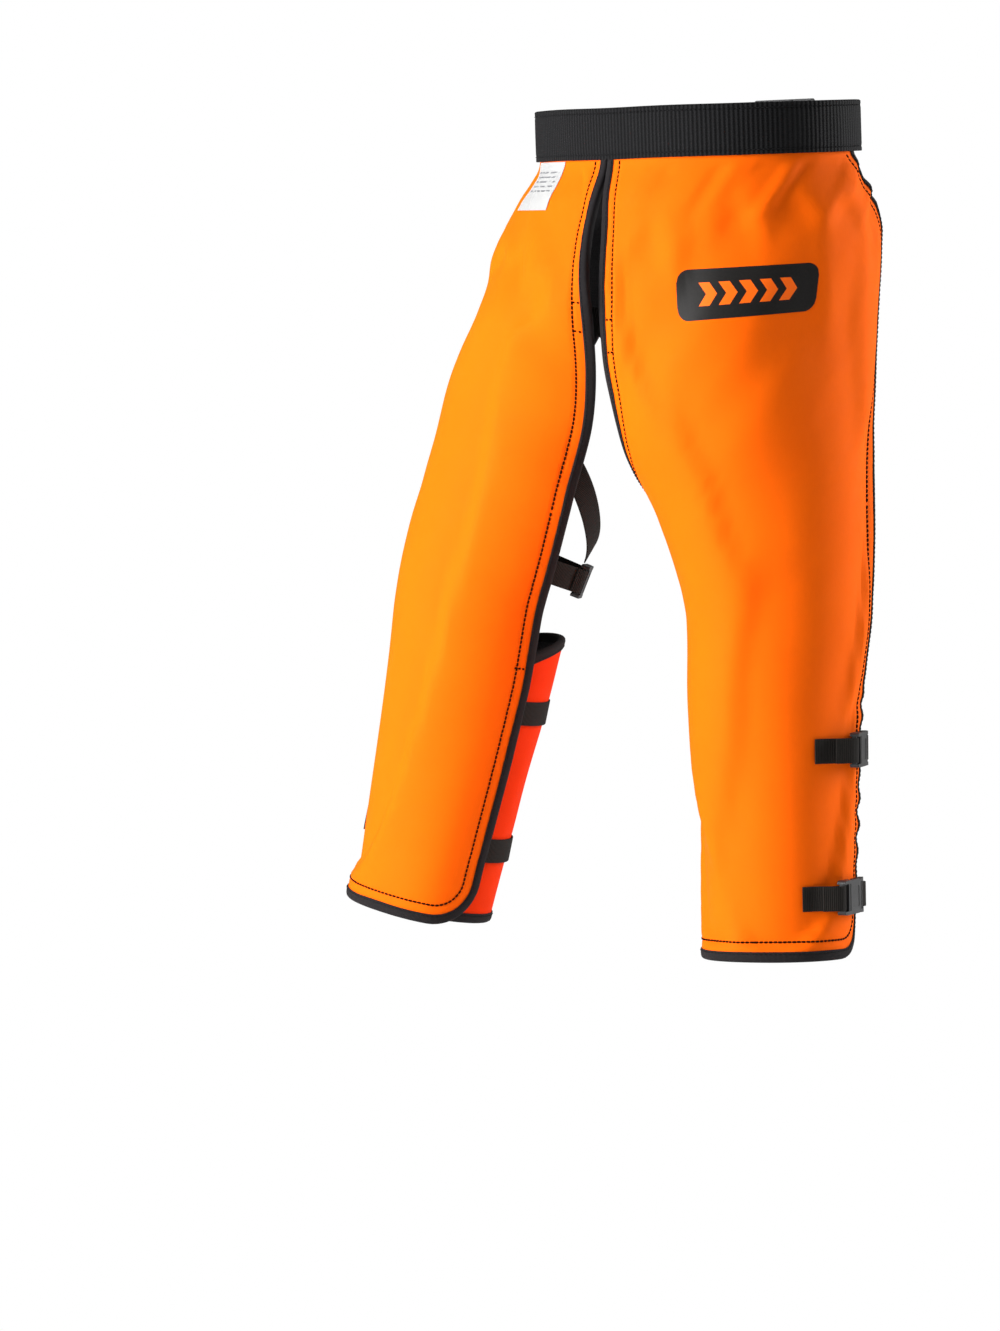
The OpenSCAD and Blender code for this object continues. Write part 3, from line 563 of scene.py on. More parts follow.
def felt(name):
    paint = Paint(name, linear(214, 203, 176), 0.95, sheen=0.4)
    fibre = paint.clouds(260, 6, stretch=(1, 0.2, 1))
    paint.colour(paint.ramp(fibre, [(0.3, linear(176, 165, 138)), (0.7, linear(228, 220, 198))]))
    paint.bump((fibre, 0.0012, 0.6), (paint.clouds(900, 3), 0.0004, 0.4))
    return paint.mat


def mesh_lining(name):
    paint = Paint(name, linear(30, 29, 31), 0.8, sheen=0.2, specular=0.3)
    u, v = paint.axes()
    knit = paint.times(paint.waves(u, 0.0024), paint.waves(v, 0.0030))
    fuzz = paint.clouds(300, 4)
    tone = paint.plus(paint.times(knit, 0.6), paint.times(fuzz, 0.3))
    paint.colour(paint.ramp(tone, [(0.2, linear(38, 37, 39)), (0.8, linear(14, 14, 15))]))
    paint.bump((knit, -0.0006, 0.5), (fuzz, 0.0004, 0.25))
    return paint.mat


def label_material(name):
    """White satin with rows of short grey bars in place of print. UV is in metres on the label."""
    paint = Paint(name, linear(236, 236, 234), 0.5, sheen=0.2)
    u, v = paint.axes()
    row = paint.math("GREATER_THAN", paint.waves(v, 0.0046), 0.72)
    gaps = paint.math("GREATER_THAN", paint.clouds(130, 1, stretch=(1, 2.2, 1)), 0.46)
    ink = paint.times(row, gaps, paint.between(u, 0.005, 0.062), paint.between(v, 0.007, 0.030))
    weave = paint.weave(0.0006)
    white = paint.ramp(weave, [(0, linear(150, 150, 150)), (1, linear(172, 172, 171))])
    paint.colour(paint.blend("MIX", paint.times(ink, 0.8), white, (*linear(70, 72, 78), 1)))
    paint.bump((weave, 0.00012, 0.3))
    return paint.mat


def print_material(name):
    """Rubbery ink that lets a little of the weave through. UV is in metres on the print."""
    paint = Paint(name, linear(20, 19, 19), 0.55, specular=0.2)
    weave = paint.weave(0.0011)
    worn = paint.clouds(420, 5)
    tone = paint.plus(paint.times(weave, 0.3), paint.times(worn, 0.6))
    black = paint.ramp(tone, [(0.2, linear(13, 12, 12)), (0.85, linear(32, 29, 27))])
    # A row of slanted bars with pointed ends, left unprinted so the fabric shows
    u, v = paint.axes()
    slant = paint.plus(u, paint.times(paint.math("ABSOLUTE", v), 0.7))
    bar = paint.math("GREATER_THAN", paint.waves(slant, 0.021), 0.42)
    bar = paint.times(bar, paint.between(slant, -0.04725, 0.05775), paint.between(v, -0.0115, 0.0115))
    paint.colour(paint.blend("MIX", bar, black, (*ORANGE_LIT, 1)))
    paint.bump((weave, 0.0002, 0.25))
    return paint.mat


MATERIALS = {
    "orange_fabric": orange_fabric("orange_fabric", ORANGE_LIT, ORANGE_SHADE),
    # The calf wrap's shell is the same orange fabric as the panels, painted darker and redder as
    # painted shade for the wrap that lies in shade behind the calf
    "wrap_fabric_painted_shade": orange_fabric("wrap_fabric_painted_shade", (0.76, 0.036, 0.002), (0.68, 0.026, 0.002)),
    "webbing": ribbed_webbing("webbing", linear(9, 9, 10), 0.0044, 1.0),
    "strap_webbing": ribbed_webbing("strap_webbing", linear(20, 18, 16), 0.0018, 0.8),
    "binding": ribbed_webbing("binding", linear(20, 18, 19), 0.0011, 0.5),
    "buckle_plastic": moulded_plastic("buckle_plastic"),
    "thread": thread_material("thread", linear(26, 6, 0)),
    "light_thread": thread_material("light_thread", linear(22, 22, 23)),
    "pad": felt("pad"),
    "lining": mesh_lining("lining"),
    "label_fabric": label_material("label_fabric"),
    "print_ink": print_material("print_ink"),
}


def paint_with(obj, material, slot, *nodes):
    """Gives a piece its material and hides the CAD solids that it replaces. slot is not used."""
    obj.data.materials.clear()
    obj.data.materials.append(MATERIALS[material])
    if nodes:
        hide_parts(*nodes)
    return obj


# ---- Front panels ----
EDGE_STEPS = np.concatenate([np.arange(INSET, 30, 1.9), np.arange(30, 48, 3.0)])
COARSE_EDGE = np.array([INSET, 8, 14, 18.5, 23, 30, 38])


def panel_grid(leg, edge_steps, middle, step):
    """t and v over a whole panel, and the number of the row where it is cut in two."""
    upper = np.linspace(5, CUT, int((CUT - 5) / step))
    hem = 1 - (edge_steps[::-1] - INSET) / (LENGTH - INSET - CUT)
    lower = np.concatenate([np.linspace(0, hem[0], int((LENGTH - CUT) / step))[:-1], hem])
    rough_t = np.concatenate([upper, CUT + (LENGTH - INSET - CUT) * lower[1:]])
    inner = edge_steps / leg.width(rough_t)[:, None]
    outer = 1 - inner[:, ::-1]
    k = np.arange(1, middle + 1) / (middle + 1)
    between = mix(inner[:, -1:], outer[:, :1], k)
    v = np.concatenate([inner, between, outer], 1)
    down = (leg.hem_at(v) - CUT) * np.concatenate([np.zeros(len(upper)), lower[1:]])[:, None]
    t = np.where(rough_t[:, None] <= CUT, rough_t[:, None], CUT + down)
    return t, v, len(upper) - 1


def panel_layer(leg, layer, top, thick, grid, material):
    t, v, cut = grid
    outer, inner = leg.at(t, v, top), leg.at(t, v, top - thick)
    n_out, n_in = grid_normals(outer), grid_normals(inner)
    uv = np.stack([v * leg.width(t[:, :1]) / 1000, t / 1000], -1)
    return [paint_with(sheet(f"{leg.side}_{layer}_{part}", outer[rows], inner[rows], uv[rows],
                             (n_out[rows], n_in[rows])), material, material)
            for part, rows in (("upper", slice(0, cut + 1)), ("lower", slice(cut, None)))]


def fold_profile(depth, width=9.0):
    """Section of binding tape round an edge: distance in from the edge, and height."""
    b = -depth
    return np.array([
        (width + 0.3, 0.75), (width - 0.2, 1.25), (width - 2, 1.4), (5, 1.62), (2, 1.55),
        (0.2, 1.0), (-0.8, -0.2), (-1.25, -1.6), (-1.3, b / 2), (-1.25, b + 1.6),
        (-0.8, b + 0.2), (0.2, b - 1.0), (2, b - 1.55), (5, b - 1.62), (width - 2, b - 1.45),
        (width - 0.2, b - 1.3), (width + 0.3, b - 0.8), (width, b - 0.55), (5, b - 0.7),
        (1.2, b - 0.55), (0.2, b + 0.6), (-0.3, b / 2), (0.2, -0.6), (1.2, 0.3), (5, 0.5),
        (width, 0.45)])


def edge_path(leg, start, end, step, inset=0.0):
    """A line round a panel at a distance in from its edge, from t = start on the inner edge to
    t = end on the outer one. Gives t, x and the way in, with x from the nearer edge, and the
    side it is measured from."""
    low, r = LENGTH - HEM_CORNER, HEM_CORNER - inset
    foot = float(leg.width(LENGTH))
    run = foot - 2 * HEM_CORNER
    corner = [(low + r * math.sin(a), HEM_CORNER - r * math.cos(a), -math.sin(a), math.cos(a))
              for a in np.linspace(0, math.pi / 2, max(4, int(r * 1.57 / step)))]
    rows = [(t, inset, 0, 1, 0) for t in np.arange(start, low, step)]
    rows += [(*point, 0) for point in corner]
    for k in np.linspace(0, 1, int(run / step))[1:-1]:
        x = HEM_CORNER + run * k
        rows.append((LENGTH - inset, min(x, foot - x), -1, 0, int(k >= 0.5)))
    rows += [(*point, 1) for point in corner[::-1]]
    rows += [(t, inset, 0, 1, 1) for t in np.arange(low, end, -step)[1:]]
    return np.array(rows)


def path_points(leg, rows, deep, height):
    """Points beside an edge path: deep is how far in from it. All arrays are (path, ring)."""
    t = rows[:, None, 0] + rows[:, None, 2] * deep
    x = rows[:, None, 1] + rows[:, None, 3] * deep
    w = leg.width(t)
    v = np.where(rows[:, None, 4] > 0, 1 - x / w, x / w)
    return leg.at(t, v, height)


def tape(name, leg, rows, depth=PANEL_DEPTH):
    profile = fold_profile(depth)
    s = np.arange(len(rows)) * 3.0
    deep = np.repeat(profile[None, :, 0], len(rows), 0)
    loose = noise(s / 30, 0.5, leg.seed + 20)[:, None] * 0.45
    deep = deep + loose * (profile[None, :, 0] > 6)
    points = path_points(leg, rows, deep, profile[None, :, 1])
    return swept(name, points, strip_uv(s, lengths(profile)), 60)


def stitches(name, place, length, material="thread", pitch=4.6, long=4.5, radius=1.0):
    """Thread along a line: place(s, across, height) gives points for distances along it."""
    count = max(1, int(length / pitch))
    starts = (np.arange(count) + 0.5) * length / count - long / 2
    lift = np.array([-0.35, 0.18, 0.36, 0.36, 0.18, -0.35])[None, :, None]
    thick = radius * np.array([0.35, 0.95, 1, 1, 0.95, 0.35])[None, :, None]
    turn = np.linspace(0, 2 * math.pi, 6, endpoint=False)
    s, across, height = np.broadcast_arrays(
        (starts[:, None] + long * np.linspace(0, 1, 6))[..., None],
        thick * np.cos(turn), lift + thick * np.sin(turn))
    uv = np.stack([s, across * 3 + height], -1) / 1000
    return paint_with(swept(name, place(s, across, height), uv, 70), material, "binding")


def edge_stitches(name, leg, rows, over, **more):
    """Stitches along an edge path, at a height over the fabric."""
    s_at = lengths(path_points(leg, rows, np.zeros((1, 1)), 0)[:, 0])

    def place(s, across, height):
        t, x, down, aside = (np.interp(s, s_at, rows[:, c]) for c in range(4))
        far = rows[np.clip(np.searchsorted(s_at, s), 0, len(rows) - 1), 4] > 0
        t = t + down * across
        v = (x + aside * across) / leg.width(t)
        return leg.at(t, np.where(far, 1 - v, v), height + over)

    return stitches(name, place, s_at[-1], **more)


def cross_stitches(name, leg, t, x0, x1):
    def place(s, across, height):
        return leg.at(t + across, (x0 + s) / leg.width(t), height)

    return stitches(name, place, x1 - x0, pitch=3.2, long=2.6)


def make_drape(leg):
    """Simulates the panel as loose cloth held at the waistband and along its tapes, and keeps
    how far each part of it moves out of its plain form."""
    rows, cols = 92, 37
    t, v = np.meshgrid(np.linspace(26, LENGTH - 4, rows), np.linspace(0, 1, cols), indexing="ij")
    rest = leg.on_leg(t, leg.psi(t, v), 0)
    quads = [[i * cols + j, i * cols + j + 1, (i + 1) * cols + j + 1, (i + 1) * cols + j]
             for i in range(rows - 1) for j in range(cols - 1)]
    cloth = add_mesh("drape", rest.reshape(-1, 3), quads)
    held = np.maximum.reduce([
        np.full(t.shape, 0.05), 0.75 * hill(np.minimum(v, 1 - v) * leg.width(t), 11),
        ease(1 - (t - 26) / 30), 0.5 * hill(LENGTH - t, 10)])
    group = cloth.vertex_groups.new(name="held")
    for k, weight in enumerate(held.ravel()):
        group.add([k], float(weight), "REPLACE")
    sim = cloth.modifiers.new("Cloth", "CLOTH")
    s = sim.settings
    s.quality, s.mass, s.air_damping = 5, 0.35, 2.0
    s.tension_stiffness = s.compression_stiffness = 12
    s.shear_stiffness, s.bending_stiffness = 6, 1.2
    s.vertex_group_mass, s.pin_stiffness = "held", 1.0
    s.shrink_min = s.shrink_max = -0.022
    sim.collision_settings.use_collision = False
    scene = bpy.context.scene
    sim.point_cache.frame_end = 45
    for f in range(1, 46):
        scene.frame_set(f)
    deps = bpy.context.evaluated_depsgraph_get()
    moved = np.empty(rows * cols * 3)
    cloth.evaluated_get(deps).to_mesh().vertices.foreach_get("co", moved)
    cloth.evaluated_get(deps).to_mesh_clear()
    bpy.data.objects.remove(cloth)
    scene.frame_set(1)
    n = grid_normals(rest)
    n *= np.sign(((leg.on_leg(t, leg.psi(t, v), 5) - rest) * n).sum(-1).mean())
    h = ((moved.reshape(rows, cols, 3) * 1000 - rest) * n).sum(-1)
    for _ in range(2):
        around = h[:-2, 1:-1] + h[2:, 1:-1] + h[1:-1, :-2] + h[1:-1, 2:]
        h[1:-1, 1:-1] = (h[1:-1, 1:-1] * 2 + around) / 6
    h -= h.mean()
    # Cloth that gives way softly past a few millimetres
    leg.drape = 4.5 * np.tanh(h / 4.5)
    leg.drape_t = t[:, 0]


def make_panel(leg):
    """The panel's layers, tape and thread, each with an upper and a lower piece."""
    side = leg.side
    make_drape(leg)
    fine = panel_grid(leg, EDGE_STEPS, 44, 4.0)
    coarse = panel_grid(leg, COARSE_EDGE, 30, 8.0)
    # The pad is thinner under the waistband, so that the shell's short wrinkles stay clear of it
    thin = 1.7 * hill(coarse[0] - 50, 55)
    layers = {
        "shell": panel_layer(leg, "shell", 0, SHELL_T, fine, "orange_fabric"),
        "pad": panel_layer(leg, "pad", PAD_TOP - thin, PAD_T - thin, coarse, "pad"),
        "lining": panel_layer(leg, "lining", LINING_TOP, LINING_T, coarse, "lining")}
    whole = edge_path(leg, 24, 24, 3.0)
    above, far = whole[:, 0] <= CUT, whole[:, 4] == 1
    first, last = np.flatnonzero(~above)[[0, -1]]
    inner, outer, low = whole[above & ~far], whole[above & far], whole[first - 1:last + 2].copy()
    # The upper and lower tapes share their end sections at the cut
    inner[-1, 0] = outer[0, 0] = low[0, 0] = low[-1, 0] = CUT
    upper = joined(f"{side}_binding_upper", [tape(f"{side}_tape_in", leg, inner),
                                             tape(f"{side}_tape_out", leg, outer)])
    layers["binding"] = [paint_with(piece, "binding", "binding")
                         for piece in (upper, tape(f"{side}_binding_lower", leg, low))]

    # Thread: the line round the panel, the tape's own seam and the rows over the crotch tab
    threads = {}
    for material, inset, over, radius in (("thread", 18.5, 0.0, 1.0),
                                          ("light_thread", 7.2, 1.35, 0.34)):
        rows = edge_path(leg, 26, 26, 2.0, inset)
        high, far = rows[:, 0] < CUT, rows[:, 4] == 1
        for part, chosen in (("upper", high & ~far), ("upper", high & far), ("lower", ~high)):
            threads.setdefault((material, part), []).append(edge_stitches(
                f"{side}_stitch", leg, rows[chosen], over, material=material, radius=radius))
    for part, t, end in (("upper", 178, 19), ("upper", 208, 19), ("lower", 547, 22)):
        if part == "upper" or side == "right":
            threads["thread", part].append(cross_stitches(f"{side}_cross_{t}", leg, t, 9.5, end))
    return layers, [(joined(f"{side}_{material}_{part}", found), part)
                    for (material, part), found in threads.items()]


# ---- Calf wrap ----
def wrap_point(leg, t, v, height):
    s = leg.station(t)
    psi = mix(s[..., 7] - 360 + WRAP_TUCK, s[..., 6] + WRAP_TUCK, v)
    bulge = WRAP_EDGE + WRAP_BULGE * np.clip(np.sin(np.pi * v), 0, 1) ** 1.4
    arc = np.radians(leg.station(700.0)[6] + 360 - leg.station(700.0)[7]) * 76 * v
    inside = np.clip(np.sin(np.pi * v), 0, 1)
    h = 1.6 * noise(arc / 42, t / 120, leg.seed + 31) + 0.8 * noise(arc / 17, t / 60, leg.seed + 32)
    dent = sum(hill((t - at) / 13, 1.0) ** 2 for at in CALF_STRAPS[leg.side])
    h = h * inside * (1 - 0.8 * np.minimum(dent, 1)) - 0.7 * dent * inside
    return leg.on_leg(t, psi, bulge + height + h)


def wrap_top_at(v):
    return WRAP_TOP - WRAP_RISE * np.sin(np.pi * v)


def make_wrap(leg):
    side = leg.side
    made = []
    v = np.linspace(0, 1, 56)
    t = mix(wrap_top_at(v) + 2, WRAP_END - 2, np.linspace(0, 1, 74)[:, None])
    v = np.broadcast_to(v, t.shape)
    arc = 155 * 76 * math.pi / 180
    uv = np.stack([v * arc / 1000, t / 1000], -1)
    top = 0.0
    # The wrap's shell takes the orange fabric with painted shade in its colour
    for layer, thick, material, slot in (
            ("shell", 1.0, "wrap_fabric_painted_shade", "orange_fabric"), ("pad", 2.7, "pad", "pad"),
            ("lining", 0.7, "lining", "lining")):
        piece = sheet(f"{side}_calf_wrap_{layer}", wrap_point(leg, t, v, top),
                      wrap_point(leg, t, v, top - thick), uv)
        made.append(paint_with(piece, material, slot, f"{side}_wrap_{layer}"))
        top -= thick + GAP
    profile = fold_profile(5.0)
    tapes, seams = [], []
    for k, (edge, way) in enumerate(((wrap_top_at, 1), (lambda v: WRAP_END + 0 * v, -1))):
        along = np.linspace(0.003, 0.997, 90)
        points = wrap_point(leg, edge(along)[:, None] + way * profile[None, :, 0],
                            np.repeat(along[:, None], len(profile), 1), profile[None, :, 1])
        uv = strip_uv(along * arc, lengths(profile))
        tapes.append(swept(f"{side}_wrap_tape_{k}", points, uv, 60))

        def place(s, across, height, edge=edge, way=way):
            v = np.clip(0.01 + s / arc, 0, 1)
            return wrap_point(leg, edge(v) + way * (6.8 + across), v, height + 1.35)

        seams.append(stitches(f"{side}_wrap_seam_{k}", place, arc * 0.98, "light_thread",
                              radius=0.34))
    binding = joined(f"{side}_calf_wrap_binding", tapes)
    made += [paint_with(binding, "binding", "binding", f"{side}_wrap_binding"),
             joined(f"{side}_calf_wrap_stitching", seams)]
    for piece in made:
        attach(piece, f"{side}_shin")


# ---- Straps ----
def polar(r, psi):
    a = np.radians(psi)
    return np.stack([r * np.sin(a), -r * np.cos(a)], -1)


BAR_LOOP = np.array([(-9, 1.15), (-6, 1.15), (-4.6, 1.9), (-4.15, 3.4), (-4.15, 5.6), (-4.6, 7.1),
                     (-6, 7.85), (-9, 7.85)])
LADDER_LOOP = np.array([(51, -0.9), (46, 0.1), (42, 0.4), (39.2, 0.5), (37.8, 1.4), (37.35, 3),
                        (37.8, 4.7), (39.2, 5.6), (42, 5.65), (47, 5.65), (52, 5.4)])
STUB_LEAD = np.array([(-13, -0.6)])


def buckle_points(r, psi, ahead, loop):
    a = math.radians(psi)
    out = np.array([math.sin(a), -math.cos(a)])
    tangent = np.array([math.cos(a), math.sin(a)])
    return (r + loop[:, 1:]) * out + ahead * (loop[:, :1] - BUCKLE_MIDDLE) * tangent


def section_path(leg, t, flat):
    """Points x, y of a leg's section plane at t, in the world, and the way across webbing there."""
    n, f, side = leg.axes(t)
    middle = leg.station(t)[1:4]
    return (middle + flat[:, :1] * side - flat[:, 1:] * f) * leg.mirror, n * leg.mirror


def strap(name, leg, t, flat, seed):
    made = webbing(name, *section_path(leg, t, flat), *STRAP_SECTION, 0.25, seed)
    return paint_with(made, "strap_webbing", "webbing")


def bend_points(leg, t, psi):
    """Where a strap starts to follow its buckle, and where it follows it fully."""
    s = leg.station(t)
    _, f, side = leg.axes(t)
    a = math.radians(psi)
    out = (math.sin(a) * side + math.cos(a) * f) * s[4]
    return [(s[1:4] + out * share) * leg.mirror / 1000 for share in (0.3, 0.92)]


def make_straps(leg):
    side = leg.side
    stubs = []
    for level, t, psi in zip(("upper", "lower"), CALF_STRAPS[side], CALF_BUCKLE_PSI):
        s = leg.station(t)
        r = float(s[4]) + BUCKLE_LIFT
        # The stub lies on the panel's folds, then runs round the female half's bar
        a = np.array([psi - 47.0, psi - 43, psi - 39])
        flat = np.concatenate([polar(r + 0.9 + leg.relief(np.full(3, t), leg.v_at(t, a)), a),
                               buckle_points(r, psi, 1, BAR_LOOP),
                               polar(r + 4.1, np.array([psi - 33]))])
        stubs.append(strap(f"{side}_stub_{level}", leg, t, flat, leg.seed + 50))
        start = float(s[7] - 360 + WRAP_TUCK)
        end = float(s[6] + WRAP_TUCK)
        first = psi + 19 - 360
        a = mix(first + 6, end - 5, np.arange(26) / 25)
        v = np.clip((a - start) / (end - start), 0, 1)
        rest = WRAP_EDGE + WRAP_BULGE * np.clip(np.sin(np.pi * v), 0, 1) ** 1.4 + 0.5
        flat = np.concatenate([buckle_points(r, psi, 1, LADDER_LOOP),
                               polar(r + mix(10.5, rest, ease((a - first) / 42)), a)])
        piece = strap(f"{side}_calf_strap_{level}", leg, t, flat, leg.seed + 51)
        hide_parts(f"{side}_calf_straps")
        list(bend_points(leg, t, psi))
        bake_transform(piece)
    piece = joined(f"{side}_calf_stubs", stubs)
    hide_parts(f"{side}_calf_strap_stubs")
    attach(piece, f"{side}_shin")

    t, psi = THIGH_STRAP, THIGH_PSI
    s = leg.station(t)
    r = float(s[4]) + THIGH_SINK
    flat = np.concatenate([polar(r, float(s[6]) + np.array([14.0, 9, 4, -1])),
                           buckle_points(r, psi, -1, STUB_LEAD), buckle_points(r, psi, -1, BAR_LOOP),
                           polar(r + 7, np.array([psi + 24]))])
    stub = strap(f"{side}_thigh_stub", leg, t, flat, leg.seed + 52)
    # The loose end hangs from behind the panel's inner edge
    u = np.linspace(0, 1, 14)
    low, high = (t - 30, psi + 4), (THIGH_TAIL_TOP, float(leg.station(THIGH_TAIL_TOP)[6]) + 6)
    tt, pp = mix(low[0], high[0], u), mix(low[1], high[1], u)
    path = leg.on_leg(tt, pp, THIGH_SINK - 2.7 + 0.8 * np.sin(u * 9))
    out = leg.on_leg(tt, pp, THIGH_SINK + 8) - leg.on_leg(tt, pp, THIGH_SINK)
    along = np.gradient(path, axis=0)
    tail = webbing(f"{side}_tail", path, np.cross(out, along), *STRAP_SECTION, 0.3, leg.seed + 53)
    paint_with(tail, "strap_webbing", "webbing")
    piece = joined(f"{side}_thigh_stub_and_tail", [stub, tail])
    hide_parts(f"{side}_thigh_straps")
    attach(piece, f"{side}_thigh")
    first, end = psi - 25, float(s[7]) - 374
    a = mix(first, end, np.arange(15) / 14)
    flat = np.concatenate([buckle_points(r, psi, -1, LADDER_LOOP),
                           polar(r + mix(10.0, 0.0, ease((first - a) / 30)), a)])
    piece = strap(f"{side}_thigh_strap", leg, t, flat, leg.seed + 54)
    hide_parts(f"{side}_thigh_straps")
    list(bend_points(leg, t, psi))
    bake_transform(piece)


# ---- Waistband and belt ----
def at_waist(x, y, z):
    """Points of the waistband's own level, tipped down at the front."""
    x, y, z = np.broadcast_arrays(x, y, z)
    c, s = math.cos(pitch), math.sin(pitch)
    return np.stack([x, y * c - z * s, y * s + z * c], -1)


def waist_radius(psi):
    a = np.radians(psi)
    return WAIST_SIDE * WAIST_FRONT / np.hypot(WAIST_FRONT * np.sin(a), WAIST_SIDE * np.cos(a))


def band_point(psi, z, high):
    r = waist_radius(psi)
    arc = psi * BAND_ARC
    high = high + 0.9 * noise(arc / 55, z / 60, 71) + 0.35 * noise(arc / 16, z / 30, 72)
    z = z + 0.5 * noise(arc / 80, 0.5, 73)
    p = polar(r + high, psi)
    return at_waist(p[..., 0], p[..., 1], z)


def make_waistband():
    half = BELT_WIDTH / 2
    rise = [0, 9, 17.5, 19, 20, 21, 22.5, 24.4, 25]
    front = [(2.35 - 0.45 * hill(abs(z) - 20, 1.2) - 0.6 * (abs(z) > 24.5), z)
             for z in [-z for z in rise[:0:-1]] + rise]
    back = -PANEL_DEPTH - 3
    profile = np.array(front + [(0.6, half + 0.5), (-2, half + 0.7), (-6, half + 0.6),
                                (-8.6, half + 0.1)]
                       + [(back, z) for z in (23.5, 12, 0, -12, -24.2)] + [(back + 0.4, -half)]
                       + [(back + 1.0, -half), (back + 1.2, 0), (back + 1.2, half - 2),
                          (-4, half - 1.3), (0.6, half - 2), (1.1, 0), (1.1, -half)])
    psi = np.linspace(-BAND_END, BAND_END, 190)[:, None]
    points = band_point(psi, profile[None, :, 1], profile[None, :, 0])
    uv = strip_uv(psi[:, 0] * BAND_ARC, lengths(profile))
    band = swept("waistband_webbing", points, uv, 50)
    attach(paint_with(band, "webbing", "webbing", "waistband"), "waist")

    rows = []
    for k, z in enumerate((-20.2, 20.2)):
        def place(s, across, height, z=z):
            return band_point(-SEAM_END + s / BAND_ARC, z + across, height + 2.1)

        rows.append(stitches(f"waist_seam_{k}", place, 2 * SEAM_END * BAND_ARC, "light_thread",
                             radius=0.45))
    thread = joined("waistband_stitching", rows)
    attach(thread, "waist")

    def run(end, high):
        a = np.linspace(BAND_END - 10, end, 13)
        u = ease((a - BAND_END) / (end - BAND_END))
        return polar(waist_radius(a) + mix(-PANEL_DEPTH - 5, high, u), a)

    def buckle(loop):
        return np.stack([(loop[:, 0] - BUCKLE_MIDDLE) * BELT_SCALE,
                         BELT_BUCKLE_R + loop[:, 1] * BELT_SCALE], -1)

    runs = {"long": [run(158, 2), buckle(LADDER_LOOP[::-1])],
            "short": [run(160, -PANEL_DEPTH) * [-1, 1], buckle(BAR_LOOP),
                      buckle(np.array([(-14, 6.6), (-22, 3.2)]))]}
    made = []
    for seed, (name, parts) in enumerate(runs.items(), 81):
        x, y = np.concatenate(parts).T
        piece = webbing(f"belt_{name}_webbing", at_waist(x, y, 0.0), at_waist(0, 0, 1.0),
                        *BELT_SECTION, 0.3, seed)
        made.append(paint_with(piece, "webbing", "webbing", f"belt_{name}_strap"))
    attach(made[1], "waist")
    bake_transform(made[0])


# ---- Label, print and crotch tab ----
def make_label():
    leg = LEGS["right"]
    width, middle, top = 68, 39, 25.5
    half = math.degrees(width / (WAIST_FRONT + 10)) / 2
    t = np.linspace(top, 74, 34)[:, None]
    psi = np.linspace(middle - half, middle + half, 44)[None]
    v = leg.v_at(t, psi)
    corner = ease((t - 52) / 22) * ease((psi - middle + half * 0.2) / (1.2 * half))
    lift = 0.5 + 1.1 * corner + 0.3 * noise(psi / 4, t / 14, 90)
    outer, inner = leg.at(t, v, lift + 0.35), leg.at(t, v, lift)
    uv = strip_uv(t[:, 0] - top, (middle + half - psi[0]) * width / (2 * half))[..., ::-1]
    label = sheet("care_label_satin", outer, inner, uv)
    paint_with(label, "label_fabric", "label_fabric", "care_label")
    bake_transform(label)


def make_print():
    leg = LEGS["left"]
    length, half, corner, middle = 150.0, 25.0, 13.0, 160
    u = np.concatenate([np.linspace(0, corner, 10)[:-1], np.linspace(corner, length - corner, 50),
                        np.linspace(length - corner, length, 10)[1:]])
    from_end = np.minimum(np.minimum(u, length - u), corner)
    tall = half - corner + np.sqrt(corner ** 2 - (corner - from_end) ** 2)
    w = np.linspace(-1, 1, 22)[:, None]
    t = middle + tall[None] * w
    psi = mix(27.0, 79.0, u / length)[None]
    # The hip slopes sideways here, so the ends lean back to stay upright
    psi = psi - np.degrees(0.515 * np.cos(np.radians(psi)) * (t - middle) / 165)
    v = leg.v_at(t, psi)
    outer, inner = leg.at(t, v, 0.28), leg.at(t, v, 0.05)
    uv = np.stack([np.broadcast_to(u, t.shape) - length / 2, t - middle], -1) / 1000
    made = sheet("thigh_print_ink", outer, inner, uv)
    paint_with(made, "print_ink", "print_ink", "thigh_print")
    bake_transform(made)


def make_bridge():
    ends = []
    for leg in (LEGS["right"], LEGS["left"]):
        s = leg.station(193.0)
        x = np.array([27, 20, 13, 6, 0.0])
        ends.append(leg.on_leg(np.full(5, 193.0), s[6] + np.degrees(x / s[4]), -PANEL_DEPTH - 8.7))
    path = np.concatenate([ends[0], ends[1][::-1]])
    made = webbing("crotch_tab", path, (0, 0, 1), 23.6, 1.4, 0.3, 95)
    paint_with(made, "strap_webbing", "webbing", "crotch_bridge")
    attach(made, "waist")


# ---- Put together ----
for leg in LEGS.values():
    side = leg.side
    layers, pieces = make_panel(leg)
    # Two points on the leg's axis at the knee, wholly below the cut in the panel
    knee = [leg.station(t)[1:4] * leg.mirror / 1000 for t in (428.0, 548.0)]
    for layer, (upper, lower) in layers.items():
        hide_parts(f"hip_{layer}s", f"{side}_thigh_{layer}")
        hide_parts(f"{side}_thigh_{layer}", f"{side}_shin_{layer}")
        pieces += [(upper, "upper"), (lower, "lower")]
    for piece, part in pieces:
        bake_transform(piece)
    make_wrap(leg)
    make_straps(leg)
make_waistband()
make_label()
make_print()
make_bridge()

for name, node in NODES.items():
    if "buckle" not in name:
        continue
    node.data.materials.clear()
    node.data.materials.append(MATERIALS["buckle_plastic"])
    weld = node.modifiers.new("Weld", "WELD")
    weld.merge_threshold = 0.00002
    bevel = node.modifiers.new("Bevel", "BEVEL")
    bevel.width, bevel.segments, bevel.angle_limit = 0.00045, 2, math.radians(35)


# ---- Studio ----
def aimed(obj, place, aim):
    bpy.context.scene.collection.objects.link(obj)
    obj.location = place
    obj.rotation_mode = "QUATERNION"
    obj.rotation_quaternion = Vector(aim - place).to_track_quat("-Z", "Y")
    return obj


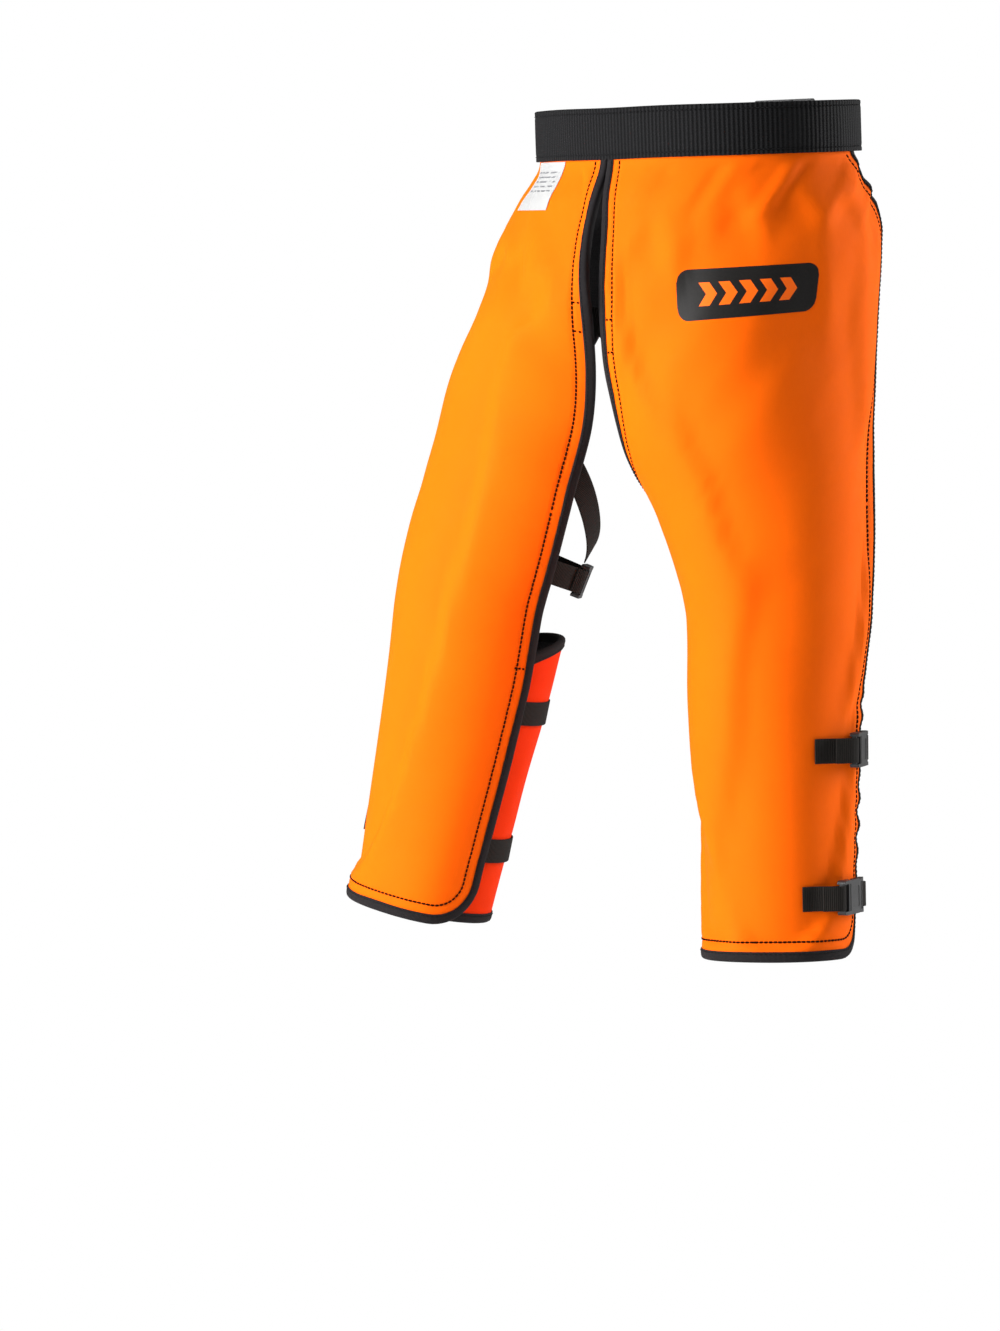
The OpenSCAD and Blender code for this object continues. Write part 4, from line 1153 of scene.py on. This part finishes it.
def shown_as(tree, real, shown, output):
    """The camera sees one shader where light meets the other."""
    swap, path = tree.nodes.new("ShaderNodeMixShader"), tree.nodes.new("ShaderNodeLightPath")
    for source, socket in ((path.outputs["Is Camera Ray"], swap.inputs[0]), (real, swap.inputs[1]),
                           (shown, swap.inputs[2]), (swap.outputs[0], output.inputs[0])):
        tree.links.new(source, socket)


def studio():
    scene = bpy.context.scene
    scene.view_settings.view_transform = "Standard"
    scene.view_settings.look = "None"
    turn = math.radians(43)
    right = np.array([math.cos(turn), math.sin(turn), 0])
    view = np.array([-math.sin(turn), math.cos(turn), 0])
    camera = bpy.data.objects.new("camera", bpy.data.cameras.new("camera"))
    scene.camera = camera
    camera.data.sensor_width, camera.data.lens, camera.data.clip_end = 36, 162.3, 100
    aim = -0.197 * right + np.array([0, 0, -0.533])
    aimed(camera, aim - 6.0 * view + np.array([0, 0, 0.265]), aim)

    mesh = bpy.data.meshes.new("floor")
    corners = [(-30, -30, -1.13), (30, -30, -1.13), (30, 30, -1.13), (-30, 30, -1.13)]
    mesh.from_pydata(corners, [], [[0, 1, 2, 3]])
    floor = bpy.data.objects.new("floor", mesh)
    scene.collection.objects.link(floor)
    # Seen by the camera the floor is as pale as the backdrop. It reflects light as plain paper.
    pale = Paint("floor", (0.85, 0.85, 0.85), 0.9)
    shown_as(pale.tree, pale.shader.outputs[0], pale.node("Emission").outputs[0],
             pale.tree.nodes["Material Output"])
    mesh.materials.append(pale.mat)

    for name, (x, y, z), size, power in (("key", (-3.0, -1.35, 0.4), (1.3, 2.4), 262),
                                         ("front", (0.3, -3.6, 0.9), (2.2, 2.0), 8),
                                         ("rim", (2.7, 0.9, 0.5), (0.9, 2.2), 100)):
        data = bpy.data.lights.new(name, "AREA")
        data.shape, data.size, data.size_y, data.energy = "RECTANGLE", *size, power
        place = x * right + y * view + np.array([0, 0, z])
        aimed(bpy.data.objects.new(name, data), place, np.array([0, 0, -0.45]))

    scene.world = bpy.data.worlds.new("studio")
    scene.world.use_nodes = True
    tree = scene.world.node_tree
    tree.nodes.clear()
    fill, shown = (tree.nodes.new("ShaderNodeBackground") for _ in range(2))
    for background, strength in ((fill, 0.24), (shown, 1.0)):
        background.inputs[0].default_value = (1, 1, 1, 1)
        background.inputs[1].default_value = strength
    shown_as(tree, fill.outputs[0], shown.outputs[0], tree.nodes.new("ShaderNodeOutputWorld"))


studio()

bpy.context.view_layer.update()
